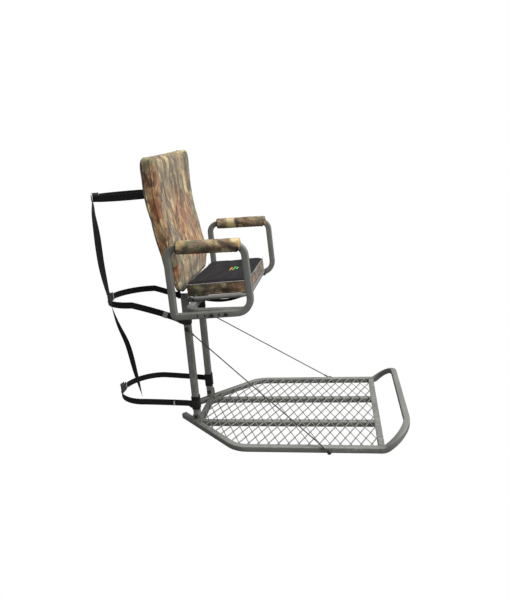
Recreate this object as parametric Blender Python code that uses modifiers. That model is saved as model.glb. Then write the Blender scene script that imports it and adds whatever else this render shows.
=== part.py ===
"""Hang-on hunting tree stand: square steel posts and platform, flip-up padded seat,
padded arm loops, hanging padded backrest, two suspension cables and three webbing straps.

Metres, +Z up, +X forward from the tree, +Y to the sitter's left. The origin is at deck
level, midway between the rear faces of the two posts."""
import bpy
import bmesh
from math import sin, cos, tan, sqrt, radians, pi, atan2, acos, hypot
from mathutils import Vector, Matrix

for old in list(bpy.data.objects):
    bpy.data.objects.remove(old, do_unlink=True)

# ---------------------------------------------------------------- driving dimensions
GAP = 0.0003              # clearance between touching pieces

RAIL = 0.022              # side of the platform's square tube
WALL = 0.0016             # wall of every steel tube
PLATFORM_W = 0.610        # over the outer faces of the side rails
DECK_FRONT = 0.698        # rear face of the crossbar
BAR_D = 0.022             # depth of the crossbar
RAIL_BEND_X = 0.200       # where the side rails turn inwards
RAIL_TIP = (-0.060, 0.048)  # centre of a rail's rear tip
REST_START = 0.722        # where the foot-rest starts to rise
REST_X = 0.802            # centre of the foot-rest's front bar
REST_Z = 0.059            # its height above the deck
REST_R = 0.090            # its corner radius
INNER_Y = 0.1026          # centre of each inner bar
INNER_REAR = 0.015        # centre of the inner tube's rear bend
MESH_T = 0.003            # expanded metal thickness
MESH_SWD = 0.0362         # diamond pitch along the deck
MESH_LWD = 0.0784         # diamond pitch across the deck
STRAND = 0.0034           # width of a mesh strand

POST = 0.0254             # side of the square posts
POST_Y = 0.110            # centre of each post
POST_TOP = 0.518
POST_FOOT = 0.006
HINGE_X = 0.0127
HINGE_Z = 0.025           # axis of the platform hinge bolts

ARM_Y = 0.2925            # centre of each support arm
ARM_Z = 0.501
SUPPORT_X = 0.073         # centre of the support's rear bar
ARM_END = 0.262
SUPPORT_T = 0.022
LOOP_Y = 0.3150           # centre plane of each arm loop
LOOP_T = 0.022

PIVOT_X = 0.073           # seat hinge axis
PIVOT_Z = 0.5225
SEAT_TILT = radians(2.5)
SEAT_TUBE = 0.016
SEAT_HALF = 0.200         # centre of each seat frame arm
SEAT_W = 0.424
SEAT_D = 0.246
SEAT_REAR = -0.033          # rear of the cushion, from the seat's hinge axis
SEAT_T = 0.052

BACK_W = 0.466
BACK_H = 0.482
BACK_T = 0.050
BACK_LOW = 0.545            # height of the backrest's lower edge at its middle
BACK_TOP_X = -0.034         # middle of the panel where it hangs upright
BACK_KICK = 0.056           # how far its lower part comes forward
BACK_BEND_Z = 0.900         # where it starts to come forward
BACK_SEAT_Z = 0.575         # where it reaches the rear of the cushion
BACK_SKEW = 0.05            # it hangs askew by this slope across its width

CABLE_D = 0.0045
CABLE_POST_Z = 0.386
CABLE_RAIL_X = 0.530

TREE_X = -0.195           # axis of the trunk that the straps go round
TREE_R = 0.132
WEB_W = 0.025
WEB_T = 0.0022
UPPER_Z = 0.886
MIDDLE_Z = 0.487
MIDDLE_POST_Z = 0.417
LOWER_Z = 0.092
LOWER_POST_Z = 0.080

# ---------------------------------------------------------------- collections, materials
scene = bpy.context.scene
parts = bpy.data.collections.new("hang_on_tree_stand")
scene.collection.children.link(parts)
tools = bpy.data.collections.new("cutters")
scene.collection.children.link(tools)

STEEL = ("frame_grey", (0.118, 0.124, 0.108), 0.55, 0.35)
MESH_STEEL = ("mesh_grey", (0.190, 0.198, 0.176), 0.55, 0.35)
BOLT = ("bolt_black", (0.030, 0.030, 0.030), 0.45, 0.80)
WIRE = ("cable_grey", (0.090, 0.092, 0.085), 0.45, 0.60)
FERRULE = ("ferrule_alu", (0.330, 0.330, 0.320), 0.40, 0.90)
CAMO = ("camo_cloth", (0.190, 0.130, 0.075), 0.90, 0.00)
WEBBING = ("webbing_black", (0.012, 0.012, 0.012), 0.80, 0.00)
LABEL = ("label_grey", (0.330, 0.330, 0.330), 0.80, 0.00)
CAP = ("cap_black", (0.020, 0.020, 0.020), 0.50, 0.00)


def paint(obj, look):
    name, colour, rough, metal = look
    mat = bpy.data.materials.new(obj.name + "_" + name)
    mat.use_nodes = True
    bsdf = mat.node_tree.nodes["Principled BSDF"]
    bsdf.inputs["Base Color"].default_value = (colour[0], colour[1], colour[2], 1.0)
    bsdf.inputs["Roughness"].default_value = rough
    bsdf.inputs["Metallic"].default_value = metal
    mat.diffuse_color = (colour[0], colour[1], colour[2], 1.0)
    obj.data.materials.clear()
    obj.data.materials.append(mat)


def link(obj, look=None):
    if look is None:
        tools.objects.link(obj)
        obj.hide_render = True
        obj.display_type = "WIRE"
    else:
        parts.objects.link(obj)
        paint(obj, look)
    return obj


# ---------------------------------------------------------------- geometry helpers
def fillet(points, radii, steps=5, closed=False):
    """Round the corners of a polyline, each with its own radius."""
    pts = [Vector(p) for p in points]
    out = []
    n = len(pts)
    for i in range(n):
        p = pts[i]
        r = radii[i] if isinstance(radii, (list, tuple)) else radii
        ends = (i == 0 or i == n - 1) and not closed
        if ends or not r:
            out.append(p)
            continue
        a = (pts[i - 1] - p).normalized()
        b = (pts[(i + 1) % n] - p).normalized()
        half = acos(max(-1.0, min(1.0, a.dot(b)))) / 2
        reach = r / tan(half)
        centre = p + (a + b).normalized() * (r / sin(half))
        start = p + a * reach - centre
        end = p + b * reach - centre
        sweep = start.angle(end)
        for k in range(steps + 1):
            t = k / steps
            w0 = sin((1 - t) * sweep) / sin(sweep)
            w1 = sin(t * sweep) / sin(sweep)
            out.append(centre + start * w0 + end * w1)
    return out


def outline_profile(ring):
    """A flat closed outline used as a sweep's cross-section."""
    data = bpy.data.curves.new("profile", "CURVE")
    data.dimensions = "2D"
    data.fill_mode = "NONE"
    spline = data.splines.new("POLY")
    spline.points.add(len(ring) - 1)
    for k, (u, v) in enumerate(ring):
        spline.points[k].co = (u, v, 0, 1)
    spline.use_cyclic_u = True
    return link(bpy.data.objects.new("profile", data))


def square_profile(side_x, side_y, chamfer):
    """A rectangle, with its corners cut where the chamfer isn't zero."""
    x = side_x / 2
    y = side_y / 2
    c = chamfer
    if c > 0:
        return outline_profile([(x, -y + c), (x, y - c), (x - c, y), (-x + c, y),
                                (-x, y - c), (-x, -y + c), (-x + c, -y), (x - c, -y)])
    return outline_profile([(x, -y), (x, y), (-x, y), (-x, -y)])


def round_profile(radius, sides):
    """A regular polygon inside a circle of this radius."""
    angles = [2 * pi * k / sides for k in range(sides)]
    return outline_profile([(radius * cos(a), radius * sin(a)) for a in angles])


def to_mesh(obj, name, look=None):
    """Turn a curve object into a mesh object with welded caps."""
    bpy.context.view_layer.update()
    deps = bpy.context.evaluated_depsgraph_get()
    mesh = bpy.data.meshes.new_from_object(obj.evaluated_get(deps))
    made = bpy.data.objects.new(name, mesh)
    made.matrix_world = obj.matrix_world.copy()
    bm = bmesh.new()
    bm.from_mesh(mesh)
    bmesh.ops.remove_doubles(bm, verts=bm.verts, dist=0.00002)
    bmesh.ops.recalc_face_normals(bm, faces=bm.faces)
    bm.to_mesh(mesh)
    bm.free()
    bpy.data.objects.remove(obj, do_unlink=True)
    link(made, look)
    return made


def sweep(name, path, profile, look=None, closed=False):
    """Sweep a profile along a path; flat faces stay level."""
    data = bpy.data.curves.new(name, "CURVE")
    data.dimensions = "3D"
    data.twist_mode = "Z_UP"
    data.resolution_u = 1
    data.bevel_mode = "OBJECT"
    data.bevel_object = profile
    data.use_fill_caps = not closed
    spline = data.splines.new("POLY")
    spline.points.add(len(path) - 1)
    for k, p in enumerate(path):
        spline.points[k].co = (p[0], p[1], p[2], 1)
    spline.use_cyclic_u = closed
    obj = bpy.data.objects.new(name + "_curve", data)
    tools.objects.link(obj)
    return to_mesh(obj, name, look)


def cut(obj, cutter, remove=True):
    """Subtract one closed mesh from another and bake the result."""
    mod = obj.modifiers.new("cut", "BOOLEAN")
    mod.operation = "DIFFERENCE"
    mod.solver = "EXACT"
    mod.object = cutter
    bake(obj)
    if remove:
        bpy.data.objects.remove(cutter, do_unlink=True)


def join(obj, other):
    """Unite one closed mesh with another and bake the result."""
    mod = obj.modifiers.new("join", "BOOLEAN")
    mod.operation = "UNION"
    mod.solver = "EXACT"
    mod.object = other
    bake(obj)
    bpy.data.objects.remove(other, do_unlink=True)


def bake(obj):
    bpy.context.view_layer.update()
    deps = bpy.context.evaluated_depsgraph_get()
    mesh = bpy.data.meshes.new_from_object(obj.evaluated_get(deps))
    obj.modifiers.clear()
    obj.data = mesh
    bm = bmesh.new()
    bm.from_mesh(mesh)
    bmesh.ops.remove_doubles(bm, verts=bm.verts, dist=0.00001)
    bmesh.ops.dissolve_degenerate(bm, edges=bm.edges, dist=0.00001)
    bm.to_mesh(mesh)
    bm.free()


def extend(path, amount):
    """The same path, run past both of its ends."""
    a = Vector(path[0])
    b = Vector(path[-1])
    first = a + (a - Vector(path[1])).normalized() * amount
    last = b + (b - Vector(path[-2])).normalized() * amount
    return [first] + [Vector(p) for p in path[1:-1]] + [last]


def square_tube(name, path, side, look, chamfer=0.0022):
    """A hollow square tube along a path, open at both ends."""
    outer = square_profile(side, side, chamfer)
    inner = square_profile(side - 2 * WALL, side - 2 * WALL, 0)
    tube = sweep(name, path, outer, look)
    core = sweep(name + "_core", extend(path, 0.01), inner)
    cut(tube, core)
    return tube


def round_bar(name, path, diameter, look=None, resolution=2):
    data = bpy.data.curves.new(name, "CURVE")
    data.dimensions = "3D"
    data.bevel_depth = diameter / 2
    data.bevel_resolution = resolution
    data.resolution_u = 1
    data.use_fill_caps = True
    spline = data.splines.new("POLY")
    spline.points.add(len(path) - 1)
    for k, p in enumerate(path):
        spline.points[k].co = (p[0], p[1], p[2], 1)
    obj = bpy.data.objects.new(name + "_curve", data)
    tools.objects.link(obj)
    return to_mesh(obj, name, look)


def cylinder(name, centre, axis, radius, length, look=None, sides=16, twist=0.0):
    bm = bmesh.new()
    bmesh.ops.create_cone(bm, cap_ends=True, segments=sides,
                          radius1=radius, radius2=radius, depth=length)
    bm.transform(Matrix.Rotation(twist, 4, "Z"))
    turn = Vector((0, 0, 1)).rotation_difference(Vector(axis)).to_matrix().to_4x4()
    bm.transform(turn)
    mesh = bpy.data.meshes.new(name)
    bm.to_mesh(mesh)
    bm.free()
    obj = bpy.data.objects.new(name, mesh)
    obj.location = centre
    link(obj, look)
    return obj


def block(name, low, high, look=None, round_by=0.0):
    bm = bmesh.new()
    bmesh.ops.create_cube(bm, size=1.0)
    size = [high[i] - low[i] for i in range(3)]
    bmesh.ops.scale(bm, vec=size, verts=bm.verts)
    mesh = bpy.data.meshes.new(name)
    bm.to_mesh(mesh)
    bm.free()
    obj = bpy.data.objects.new(name, mesh)
    obj.location = [(high[i] + low[i]) / 2 for i in range(3)]
    link(obj, look)
    if round_by:
        mod = obj.modifiers.new("round", "BEVEL")
        mod.width = round_by
        mod.segments = 1
        mod.limit_method = "ANGLE"
    return obj


def plate(name, outline, thickness, look, holes=(), place=None):
    """A flat plate from an outline in its own XY plane, with round holes."""
    data = bpy.data.curves.new(name, "CURVE")
    data.dimensions = "2D"
    data.fill_mode = "BOTH"
    data.extrude = thickness / 2
    rings = [outline]
    for (u, v, r) in holes:
        ring = [(u + r * cos(2 * pi * k / 16), v + r * sin(2 * pi * k / 16)) for k in range(16)]
        rings.append(ring)
    for ring in rings:
        spline = data.splines.new("POLY")
        spline.points.add(len(ring) - 1)
        for k, p in enumerate(ring):
            spline.points[k].co = (p[0], p[1], 0, 1)
        spline.use_cyclic_u = True
    obj = bpy.data.objects.new(name + "_curve", data)
    if place is not None:
        obj.matrix_world = place
    tools.objects.link(obj)
    return to_mesh(obj, name, look)


def standing(y):
    """Places a flat plate upright in an XZ plane at this Y."""
    return Matrix.Translation((0, y, 0)) @ Matrix.Rotation(radians(90), 4, "X")


def bolt(name, head_at, axis, shank_d, shank_len, head_d, head_len, look=BOLT, nut=True):
    """Hexagon bolt: head_at is the middle of the head's inner face, axis points into the work."""
    way = Vector(axis).normalized()
    start = Vector(head_at)
    body = cylinder(name, start + way * (shank_len / 2 - 0.0005), way, shank_d / 2,
                    shank_len + 0.001, look, sides=12)
    body.data.transform(Matrix.Translation(body.location))
    body.location = (0, 0, 0)
    ends = [start - way * head_len / 2]
    if nut:
        ends.append(start + way * (shank_len - head_len / 2))
    for k, where in enumerate(ends):
        part = cylinder(name + "_hex", where, way, head_d / 2, head_len, None, sides=6)
        join(body, part)
    return body


SIDES = (("right", -1), ("left", 1))

# ================================================================ posts
for side, s in SIDES:
    outer = block("post_" + side, (0, s * POST_Y - POST / 2, POST_FOOT),
                  (POST, s * POST_Y + POST / 2, POST_TOP), STEEL)
    bevel = outer.modifiers.new("corner", "BEVEL")
    bevel.width = 0.003
    bevel.segments = 2
    bevel.limit_method = "WEIGHT"
    weights = outer.data.attributes.new("bevel_weight_edge", "FLOAT", "EDGE")
    for e in outer.data.edges:
        a = outer.data.vertices[e.vertices[0]].co
        b = outer.data.vertices[e.vertices[1]].co
        weights.data[e.index].value = 1.0 if abs(a.z - b.z) > 0.1 else 0.0
    bake(outer)
    core = block("core", (WALL, s * POST_Y - POST / 2 + WALL, POST_FOOT - 0.01),
                 (POST - WALL, s * POST_Y + POST / 2 - WALL, POST_TOP + 0.01))
    cut(outer, core)
    for hx, hz, hr in ((HINGE_X, HINGE_Z, 0.0044), (POST / 2, CABLE_POST_Z, 0.0044)):
        hole = cylinder("hole", (hx, s * POST_Y, hz), (0, 1, 0), hr, 0.05, None, sides=12)
        cut(outer, hole)

# ================================================================ platform
half = PLATFORM_W / 2 - RAIL / 2
rail_z = -RAIL / 2
for side, s in SIDES:
    tip = (RAIL_TIP[0], s * RAIL_TIP[1], rail_z)
    corner = (RAIL_BEND_X, s * half, rail_z)
    end = (REST_START - 0.016, s * half, rail_z)
    path = fillet([tip, corner, end], 0.10, steps=4)
    square_tube("platform_rail_" + side, path, RAIL, STEEL)
    # plug in the rear tip: a rounded head outside, a shank inside the tube
    way = (Vector(corner) - Vector(tip)).normalized()
    spin = Matrix.Translation(tip) @ Matrix.Rotation(atan2(way.y, way.x), 4, "Z")
    head = block("rail_tip_cap_" + side, (-0.006, -RAIL / 2, -RAIL / 2), (-GAP, RAIL / 2, RAIL / 2), CAP)
    head.data.transform(Matrix.Translation(head.location))
    head.location = (0, 0, 0)
    mod = head.modifiers.new("round", "BEVEL")
    mod.width = 0.0035
    mod.segments = 2
    bake(head)
    inside = RAIL / 2 - WALL - GAP
    shank = block("shank", (-0.003, -inside, -inside), (0.014, inside, inside))
    join(head, shank)
    head.data.transform(spin)

inner_top = -MESH_T - 2 * GAP
inner_z = inner_top - RAIL / 2
inner_end = DECK_FRONT - GAP
inner_path = fillet([(inner_end, -INNER_Y, inner_z), (INNER_REAR, -INNER_Y, inner_z),
                     (INNER_REAR, INNER_Y, inner_z), (inner_end, INNER_Y, inner_z)],
                    0.034, steps=4)
square_tube("inner_tube", inner_path, RAIL, STEEL)

bar_half = PLATFORM_W / 2 - RAIL - GAP
bar_x = DECK_FRONT + BAR_D / 2
square_tube("platform_crossbar", [(bar_x, -bar_half, rail_z), (bar_x, bar_half, rail_z)], RAIL, STEEL)

start = REST_START - 0.016 + GAP
rest = [(start, -half, rail_z), (REST_START, -half, rail_z), (REST_X, -half, REST_Z),
        (REST_X, half, REST_Z), (REST_START, half, rail_z), (start, half, rail_z)]
rest_path = fillet(rest, [0, 0.035, REST_R, REST_R, 0.035, 0], steps=4)
square_tube("foot_rest", rest_path, RAIL, STEEL)


# ---- expanded metal deck: an outline with staggered diamond openings
def rail_inner_y(x):
    """Half the free width between the side rails' inner faces at this X."""
    tip = Vector(RAIL_TIP)
    corner = Vector((RAIL_BEND_X, half))
    way = (corner - tip).normalized()
    slanted = tip.y + (x - tip.x) * way.y / way.x - RAIL / 2 / way.x
    return min(slanted, half - RAIL / 2)


edge_gap = 0.0006
deck_rear = INNER_REAR + 0.004
deck_front = DECK_FRONT - edge_gap
rear_half = rail_inner_y(deck_rear) - edge_gap / 0.7
bend_x = RAIL_BEND_X + 0.012
straight = half - RAIL / 2 - edge_gap


def deck_half(x):
    """Half the deck's width at this X."""
    t = (x - deck_rear) / (bend_x - deck_rear)
    return min(straight, rear_half + t * (straight - rear_half) - 0.006 * max(0.0, min(1.0, 3 * t)))


outline = [(deck_rear, -rear_half), (deck_rear + 0.02, -deck_half(deck_rear + 0.02)),
           (bend_x - 0.03, -deck_half(bend_x - 0.03)), (bend_x + 0.03, -straight),
           (deck_front, -straight), (deck_front, straight), (bend_x + 0.03, straight),
           (bend_x - 0.03, deck_half(bend_x - 0.03)), (deck_rear + 0.02, deck_half(deck_rear + 0.02)),
           (deck_rear, rear_half)]
rings = [outline]
hole_x = MESH_SWD / 2 - STRAND / 2 * 1.10
hole_y = MESH_LWD / 2 - STRAND / 2 * 2.40
rim = 0.0022
columns = int((deck_front - deck_rear) / (MESH_SWD / 2))
for i in range(columns):
    cx = deck_front - rim - hole_x - i * MESH_SWD / 2
    rows = range(-4, 5)
    for j in rows:
        cy = (j + (0.5 if i % 2 else 0.0)) * MESH_LWD
        if cx - hole_x < deck_rear + rim:
            continue
        reach = min(deck_half(cx), deck_half(cx - hole_x) + hole_y) - rim
        if abs(cy) + hole_y < reach:
            rings.append([(cx + hole_x, cy), (cx, cy + hole_y), (cx - hole_x, cy), (cx, cy - hole_y)])
        elif abs(cy) + 0.35 * hole_y < min(reach, deck_half(cx - hole_x * 0.6) - rim):
            # a diamond clipped by the deck's edge keeps its inner part
            s = 1 if cy > 0 else -1
            lim = min(reach, deck_half(cx - hole_x * 0.6) - rim)
            k = (lim - abs(cy)) / hole_y
            w = hole_x * (1 - k)
            rings.append([(cx + hole_x, cy), (cx + w, s * lim), (cx - w, s * lim),
                          (cx - hole_x, cy), (cx, cy - s * hole_y)])
data = bpy.data.curves.new("deck_mesh", "CURVE")
data.dimensions = "2D"
data.fill_mode = "BOTH"
data.extrude = MESH_T / 2
for ring in rings:
    spline = data.splines.new("POLY")
    spline.points.add(len(ring) - 1)
    for k, p in enumerate(ring):
        spline.points[k].co = (p[0], p[1], 0, 1)
    spline.use_cyclic_u = True
deck = bpy.data.objects.new("deck_curve", data)
deck.location = (0, 0, -GAP - MESH_T / 2)
tools.objects.link(deck)
to_mesh(deck, "deck_mesh", MESH_STEEL)

# ---- hinge ears on the rails, outside the posts, and their bolts
EAR_T = 0.004
for side, s in SIDES:
    y = s * (POST_Y + POST / 2 + GAP + EAR_T / 2)
    low = GAP
    wide = 0.016
    top = [(HINGE_X + wide * cos(a), HINGE_Z + wide * sin(a))
           for a in [pi * k / 8 for k in range(9)]]
    shape = [(HINGE_X - wide, low), (HINGE_X + wide, low)] + top
    plate("hinge_ear_" + side, shape, EAR_T, STEEL, holes=[(HINGE_X, HINGE_Z, 0.0044)],
          place=standing(y))
    outer_face = s * (POST_Y + POST / 2 + 2 * GAP + EAR_T)
    length = POST + EAR_T + 2 * GAP + 0.0082
    bolt("hinge_bolt_" + side, (HINGE_X, outer_face, HINGE_Z), (0, -s, 0),
         0.008, length, 0.015, 0.0055)

# ================================================================ seat support and arm loops
support = fillet([(ARM_END, -ARM_Y, ARM_Z), (SUPPORT_X, -ARM_Y, ARM_Z),
                  (SUPPORT_X, ARM_Y, ARM_Z), (ARM_END, ARM_Y, ARM_Z)], 0.045, steps=5)
support_tube = square_tube("seat_support", support, SUPPORT_T, STEEL)
for side, s in SIDES:
    block("support_bracket_" + side, (POST + GAP, s * POST_Y - 0.012, 0.4885),
          (SUPPORT_X - SUPPORT_T / 2 - GAP, s * POST_Y + 0.012, 0.5045), STEEL, round_by=0.001)
    inside = SUPPORT_T / 2 - WALL - GAP
    cap = block("support_cap_" + side, (ARM_END + GAP, s * ARM_Y - 0.011, ARM_Z - 0.011),
                (ARM_END + 0.004, s * ARM_Y + 0.011, ARM_Z + 0.011), CAP)
    cap.data.transform(Matrix.Translation(cap.location))
    cap.location = (0, 0, 0)
    mod = cap.modifiers.new("round", "BEVEL")
    mod.width = 0.0025
    mod.segments = 2
    bake(cap)
    shank = block("shank", (ARM_END - 0.012, s * ARM_Y - inside, ARM_Z - inside),
                  (ARM_END + 0.002, s * ARM_Y + inside, ARM_Z + inside))
    join(cap, shank)

# the loop's corners in the XZ plane: rear bottom, front bottom, front top, rear top
LOOP = [(0.0340, 0.4910), (0.2985, 0.5020), (0.2880, 0.7240), (0.0310, 0.7240)]
LOOP_R = [0.012, 0.048, 0.036, 0.036]
BEND_STEPS = 4
loop_flat = fillet([(x, z, 0) for x, z in LOOP], LOOP_R, steps=BEND_STEPS, closed=True)
# the pad covers the top bar and the first step of the bend at each end of it
last_front = 3 * (BEND_STEPS + 1) - 1
pad_path = loop_flat[last_front - 1:last_front + 2]
PAD_R = 0.0225
PAD_BORE = 0.0150
HOLES_X = [0.1160, 0.1405, 0.1650, 0.1895, 0.2140]
BOLTED = (2, 4)


def bar_z(x):
    """Height of the loop's bottom bar at this X."""
    (x0, z0), (x1, z1) = LOOP[0], LOOP[1]
    return z0 + (z1 - z0) * (x - x0) / (x1 - x0)


for side, s in SIDES:
    outer = square_profile(LOOP_T, LOOP_T, 0.0022)
    inner = square_profile(LOOP_T - 2 * WALL, LOOP_T - 2 * WALL, 0)
    ring = sweep("arm_loop_" + side, loop_flat, outer, STEEL, closed=True)
    core = sweep("core", loop_flat, inner, closed=True)
    for item in (ring, core):
        item.data.transform(standing(s * LOOP_Y))
    cut(ring, core)
    for k, x in enumerate(HOLES_X):
        z = bar_z(x)
        hole = cylinder("hole", (x, s * LOOP_Y, z), (0, 1, 0), 0.0036, LOOP_T + 0.01, None, sides=10)
        if k in BOLTED:
            deep = cylinder("hole", (x, s * ARM_Y, z), (0, 1, 0), 0.0036, SUPPORT_T + 0.01, None, sides=10)
            cut(support_tube, deep)
        cut(ring, hole)
    for k, tag in zip(BOLTED, ("rear", "front")):
        x = HOLES_X[k]
        z = bar_z(x)
        outer_face = s * (LOOP_Y + LOOP_T / 2 + GAP)
        bolt("arm_bolt_" + tag + "_" + side, (x, outer_face, z), (0, -s, 0), 0.0066,
             LOOP_T + SUPPORT_T + 0.0075, 0.0125, 0.005)
    # foam sleeve round the top bar, with a slit along its underside
    sleeve = sweep("arm_pad_" + side, pad_path, round_profile(PAD_R, 24), CAMO)
    bore = sweep("bore", extend(pad_path, 0.01), round_profile(PAD_BORE, 16))
    cut(sleeve, bore)
    slit = block("slit", (-0.1, LOOP[2][1] - 0.06, -0.0012), (0.4, LOOP[2][1] - 0.005, 0.0012))
    cut(sleeve, slit)
    sleeve.data.transform(standing(s * LOOP_Y))

# ================================================================ seat
seat = bpy.data.objects.new("seat_axis", None)
seat.location = (PIVOT_X, 0, PIVOT_Z)
seat.rotation_euler = (0, -SEAT_TILT, 0)
parts.objects.link(seat)


def on_seat(obj):
    obj.parent = seat


front = 0.200
frame_path = fillet([(-0.0055, -SEAT_HALF, 0), (front, -SEAT_HALF, 0), (front, SEAT_HALF, 0),
                     (-0.0055, SEAT_HALF, 0)], 0.035, steps=4)
frame = round_bar("seat_frame", frame_path, SEAT_TUBE, STEEL, resolution=1)
core = round_bar("core", extend(frame_path, 0.01), SEAT_TUBE - 2 * WALL, None, resolution=1)
cut(frame, core)
for side, s in SIDES:
    hole = cylinder("hole", (0, s * SEAT_HALF, 0), (0, 1, 0), 0.0034, 0.03, None, sides=12)
    cut(frame, hole)
on_seat(frame)

EAR_Y = SEAT_HALF - SEAT_TUBE / 2 - 0.0008 - 0.0015
for side, s in SIDES:
    low = ARM_Z + SUPPORT_T / 2 + GAP
    round_top = [(PIVOT_X + 0.0075 * cos(pi * k / 8), PIVOT_Z + 0.0075 * sin(pi * k / 8)) for k in range(9)]
    plate("seat_ear_" + side, [(PIVOT_X - 0.0075, low), (PIVOT_X + 0.0075, low)] + round_top, 0.003, STEEL,
          holes=[(PIVOT_X, PIVOT_Z, 0.0034)], place=standing(s * EAR_Y))
    pin = bolt("seat_bolt_" + side, (0, s * (SEAT_HALF + SEAT_TUBE / 2 + GAP), 0), (0, -s, 0),
               0.0062, 0.0255, 0.0105, 0.0040)
    on_seat(pin)

# cushion: a boxed pad with rounded corners in plan and softened rims
cushion_front = SEAT_REAR + SEAT_D
cushion_plan = fillet([(SEAT_REAR, -SEAT_W / 2, 0), (cushion_front, -SEAT_W / 2, 0),
                       (cushion_front, SEAT_W / 2, 0), (SEAT_REAR, SEAT_W / 2, 0)],
                      0.030, steps=6, closed=True)
cushion = plate("seat_cushion", [(p.x, p.y) for p in cushion_plan], SEAT_T, CAMO)
cushion.location = (0, 0, SEAT_TUBE / 2 + GAP + SEAT_T / 2)
mod = cushion.modifiers.new("rim", "BEVEL")
mod.width = 0.004
mod.segments = 2
mod.limit_method = "ANGLE"
mod.angle_limit = radians(40)
on_seat(cushion)

# webbing under the cushion, hung between the rear of the frame and its front bar
sag = []
for k in range(13):
    t = k / 12
    sag.append((0.026 + t * 0.150, 0, -0.013 - 0.012 * sin(pi * t) - 0.004 * (1 - t)))
sling_path = [(x, -0.150, z) for x, y, z in sag]
sling_path += [(front - 0.014, -0.150, -0.0125), (front - 0.0005, -0.150, -0.0102)]
sling = sweep("seat_sling", sling_path, square_profile(0.036, WEB_T, 0), WEBBING)
on_seat(sling)

# ================================================================ backrest
def ease(t):
    """0 to 1, with a level start and end."""
    t = min(1.0, max(0.0, t))
    return t * t * (3 - 2 * t)


def back_middle(z):
    """X of the panel's middle at this height: upright above, kicked forward below."""
    kick = min(1.0, max(0.0, (BACK_BEND_Z - z) / (BACK_BEND_Z - BACK_SEAT_Z)))
    return BACK_TOP_X + BACK_KICK * kick ** 1.3


def back_half_thick(z):
    """Half the panel's thickness: it is pressed thin behind the cushion."""
    return BACK_T / 2 * (0.46 + 0.54 * ease((z - BACK_SEAT_Z) / 0.065))


def round_off(gap, radius):
    """How far a round corner pulls the edge in, this far from the panel's end."""
    inside = max(0.0, radius - gap)
    return radius - sqrt(radius ** 2 - inside ** 2)


bm = bmesh.new()
bmesh.ops.create_cube(bm, size=1.0)
for axis, cuts in ((2, 15), (1, 5)):
    across = [e for e in bm.edges if abs((e.verts[0].co - e.verts[1].co)[axis]) > 0.5]
    bmesh.ops.subdivide_edges(bm, edges=across, cuts=cuts, use_grid_fill=True)
for v in bm.verts:
    rise = (0.5 - 0.5 * cos(pi * (v.co.z + 0.5))) * BACK_H
    edge = BACK_W / 2 - round_off(rise, 0.095) - round_off(BACK_H - rise, 0.024)
    y = 2 * v.co.y * edge
    z = BACK_LOW + rise + BACK_SKEW * y
    v.co = (back_middle(z) + 2 * v.co.x * back_half_thick(z), y, z)
mesh = bpy.data.meshes.new("backrest")
bm.to_mesh(mesh)
bm.free()
pad = bpy.data.objects.new("backrest", mesh)
link(pad, CAMO)
mod = pad.modifiers.new("rim", "BEVEL")
mod.width = 0.006
mod.segments = 2
mod.limit_method = "ANGLE"
mod.angle_limit = radians(50)
# a folded loop of webbing sewn to the back of the panel, low on the right
tie_front = back_middle(BACK_SEAT_Z) - back_half_thick(BACK_SEAT_Z) - 0.0012
block("backrest_tie", (tie_front - 0.005, -0.165, 0.513), (tie_front, -0.139, 0.566),
      WEBBING, round_by=0.0012)


# ================================================================ straps
def ribbon(name, path, width, look=WEBBING, thick=WEB_T):
    """Webbing on edge along a path: its width stays vertical."""
    return sweep(name, path, square_profile(thick, width, 0), look)


def round_tree(a0, a1, z0, z1, count, lift=0.0):
    """Points on the trunk's circle from angle a0 to a1 in degrees, measured at its axis."""
    r = TREE_R + WEB_T / 2 + 0.0005 + lift
    out = []
    for k in range(count + 1):
        t = k / count
        a = radians(a0 + (a1 - a0) * t)
        out.append((TREE_X + r * cos(a), r * sin(a), z0 + (z1 - z0) * t))
    return out


BUCKLE_HALF = 0.024 / TREE_R        # half the angle a buckle takes, in radians
open_deg = BUCKLE_HALF * 180 / pi
ribbon("upper_strap", round_tree(-(180 - open_deg), 180 - open_deg, UPPER_Z, UPPER_Z, 44), WEB_W)

SLEEVE = POST / 2 + GAP + WEB_T     # half the outside of a strap's sewn sleeve round a post


def strap_run(side):
    """In plan, where a strap leaves its sleeve and where it meets the trunk, and the angle there."""
    leave = Vector((POST / 2 - SLEEVE, side * (POST_Y + SLEEVE - WEB_T / 2)))
    r = TREE_R + WEB_T / 2 + 0.0005
    reach = leave.x - TREE_X
    touch = atan2(abs(leave.y), reach) + acos(r / hypot(reach, leave.y))
    meet = Vector((TREE_X + r * cos(touch), side * r * sin(touch)))
    return leave, meet, touch


def run_point(leave, meet, z_post, z_back, t):
    """A point at share t of a strap's straight run, which rises towards the trunk."""
    flat = leave.lerp(meet, t)
    return Vector((flat.x, flat.y, z_post + (z_back - z_post) * t ** 0.8))


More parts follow.
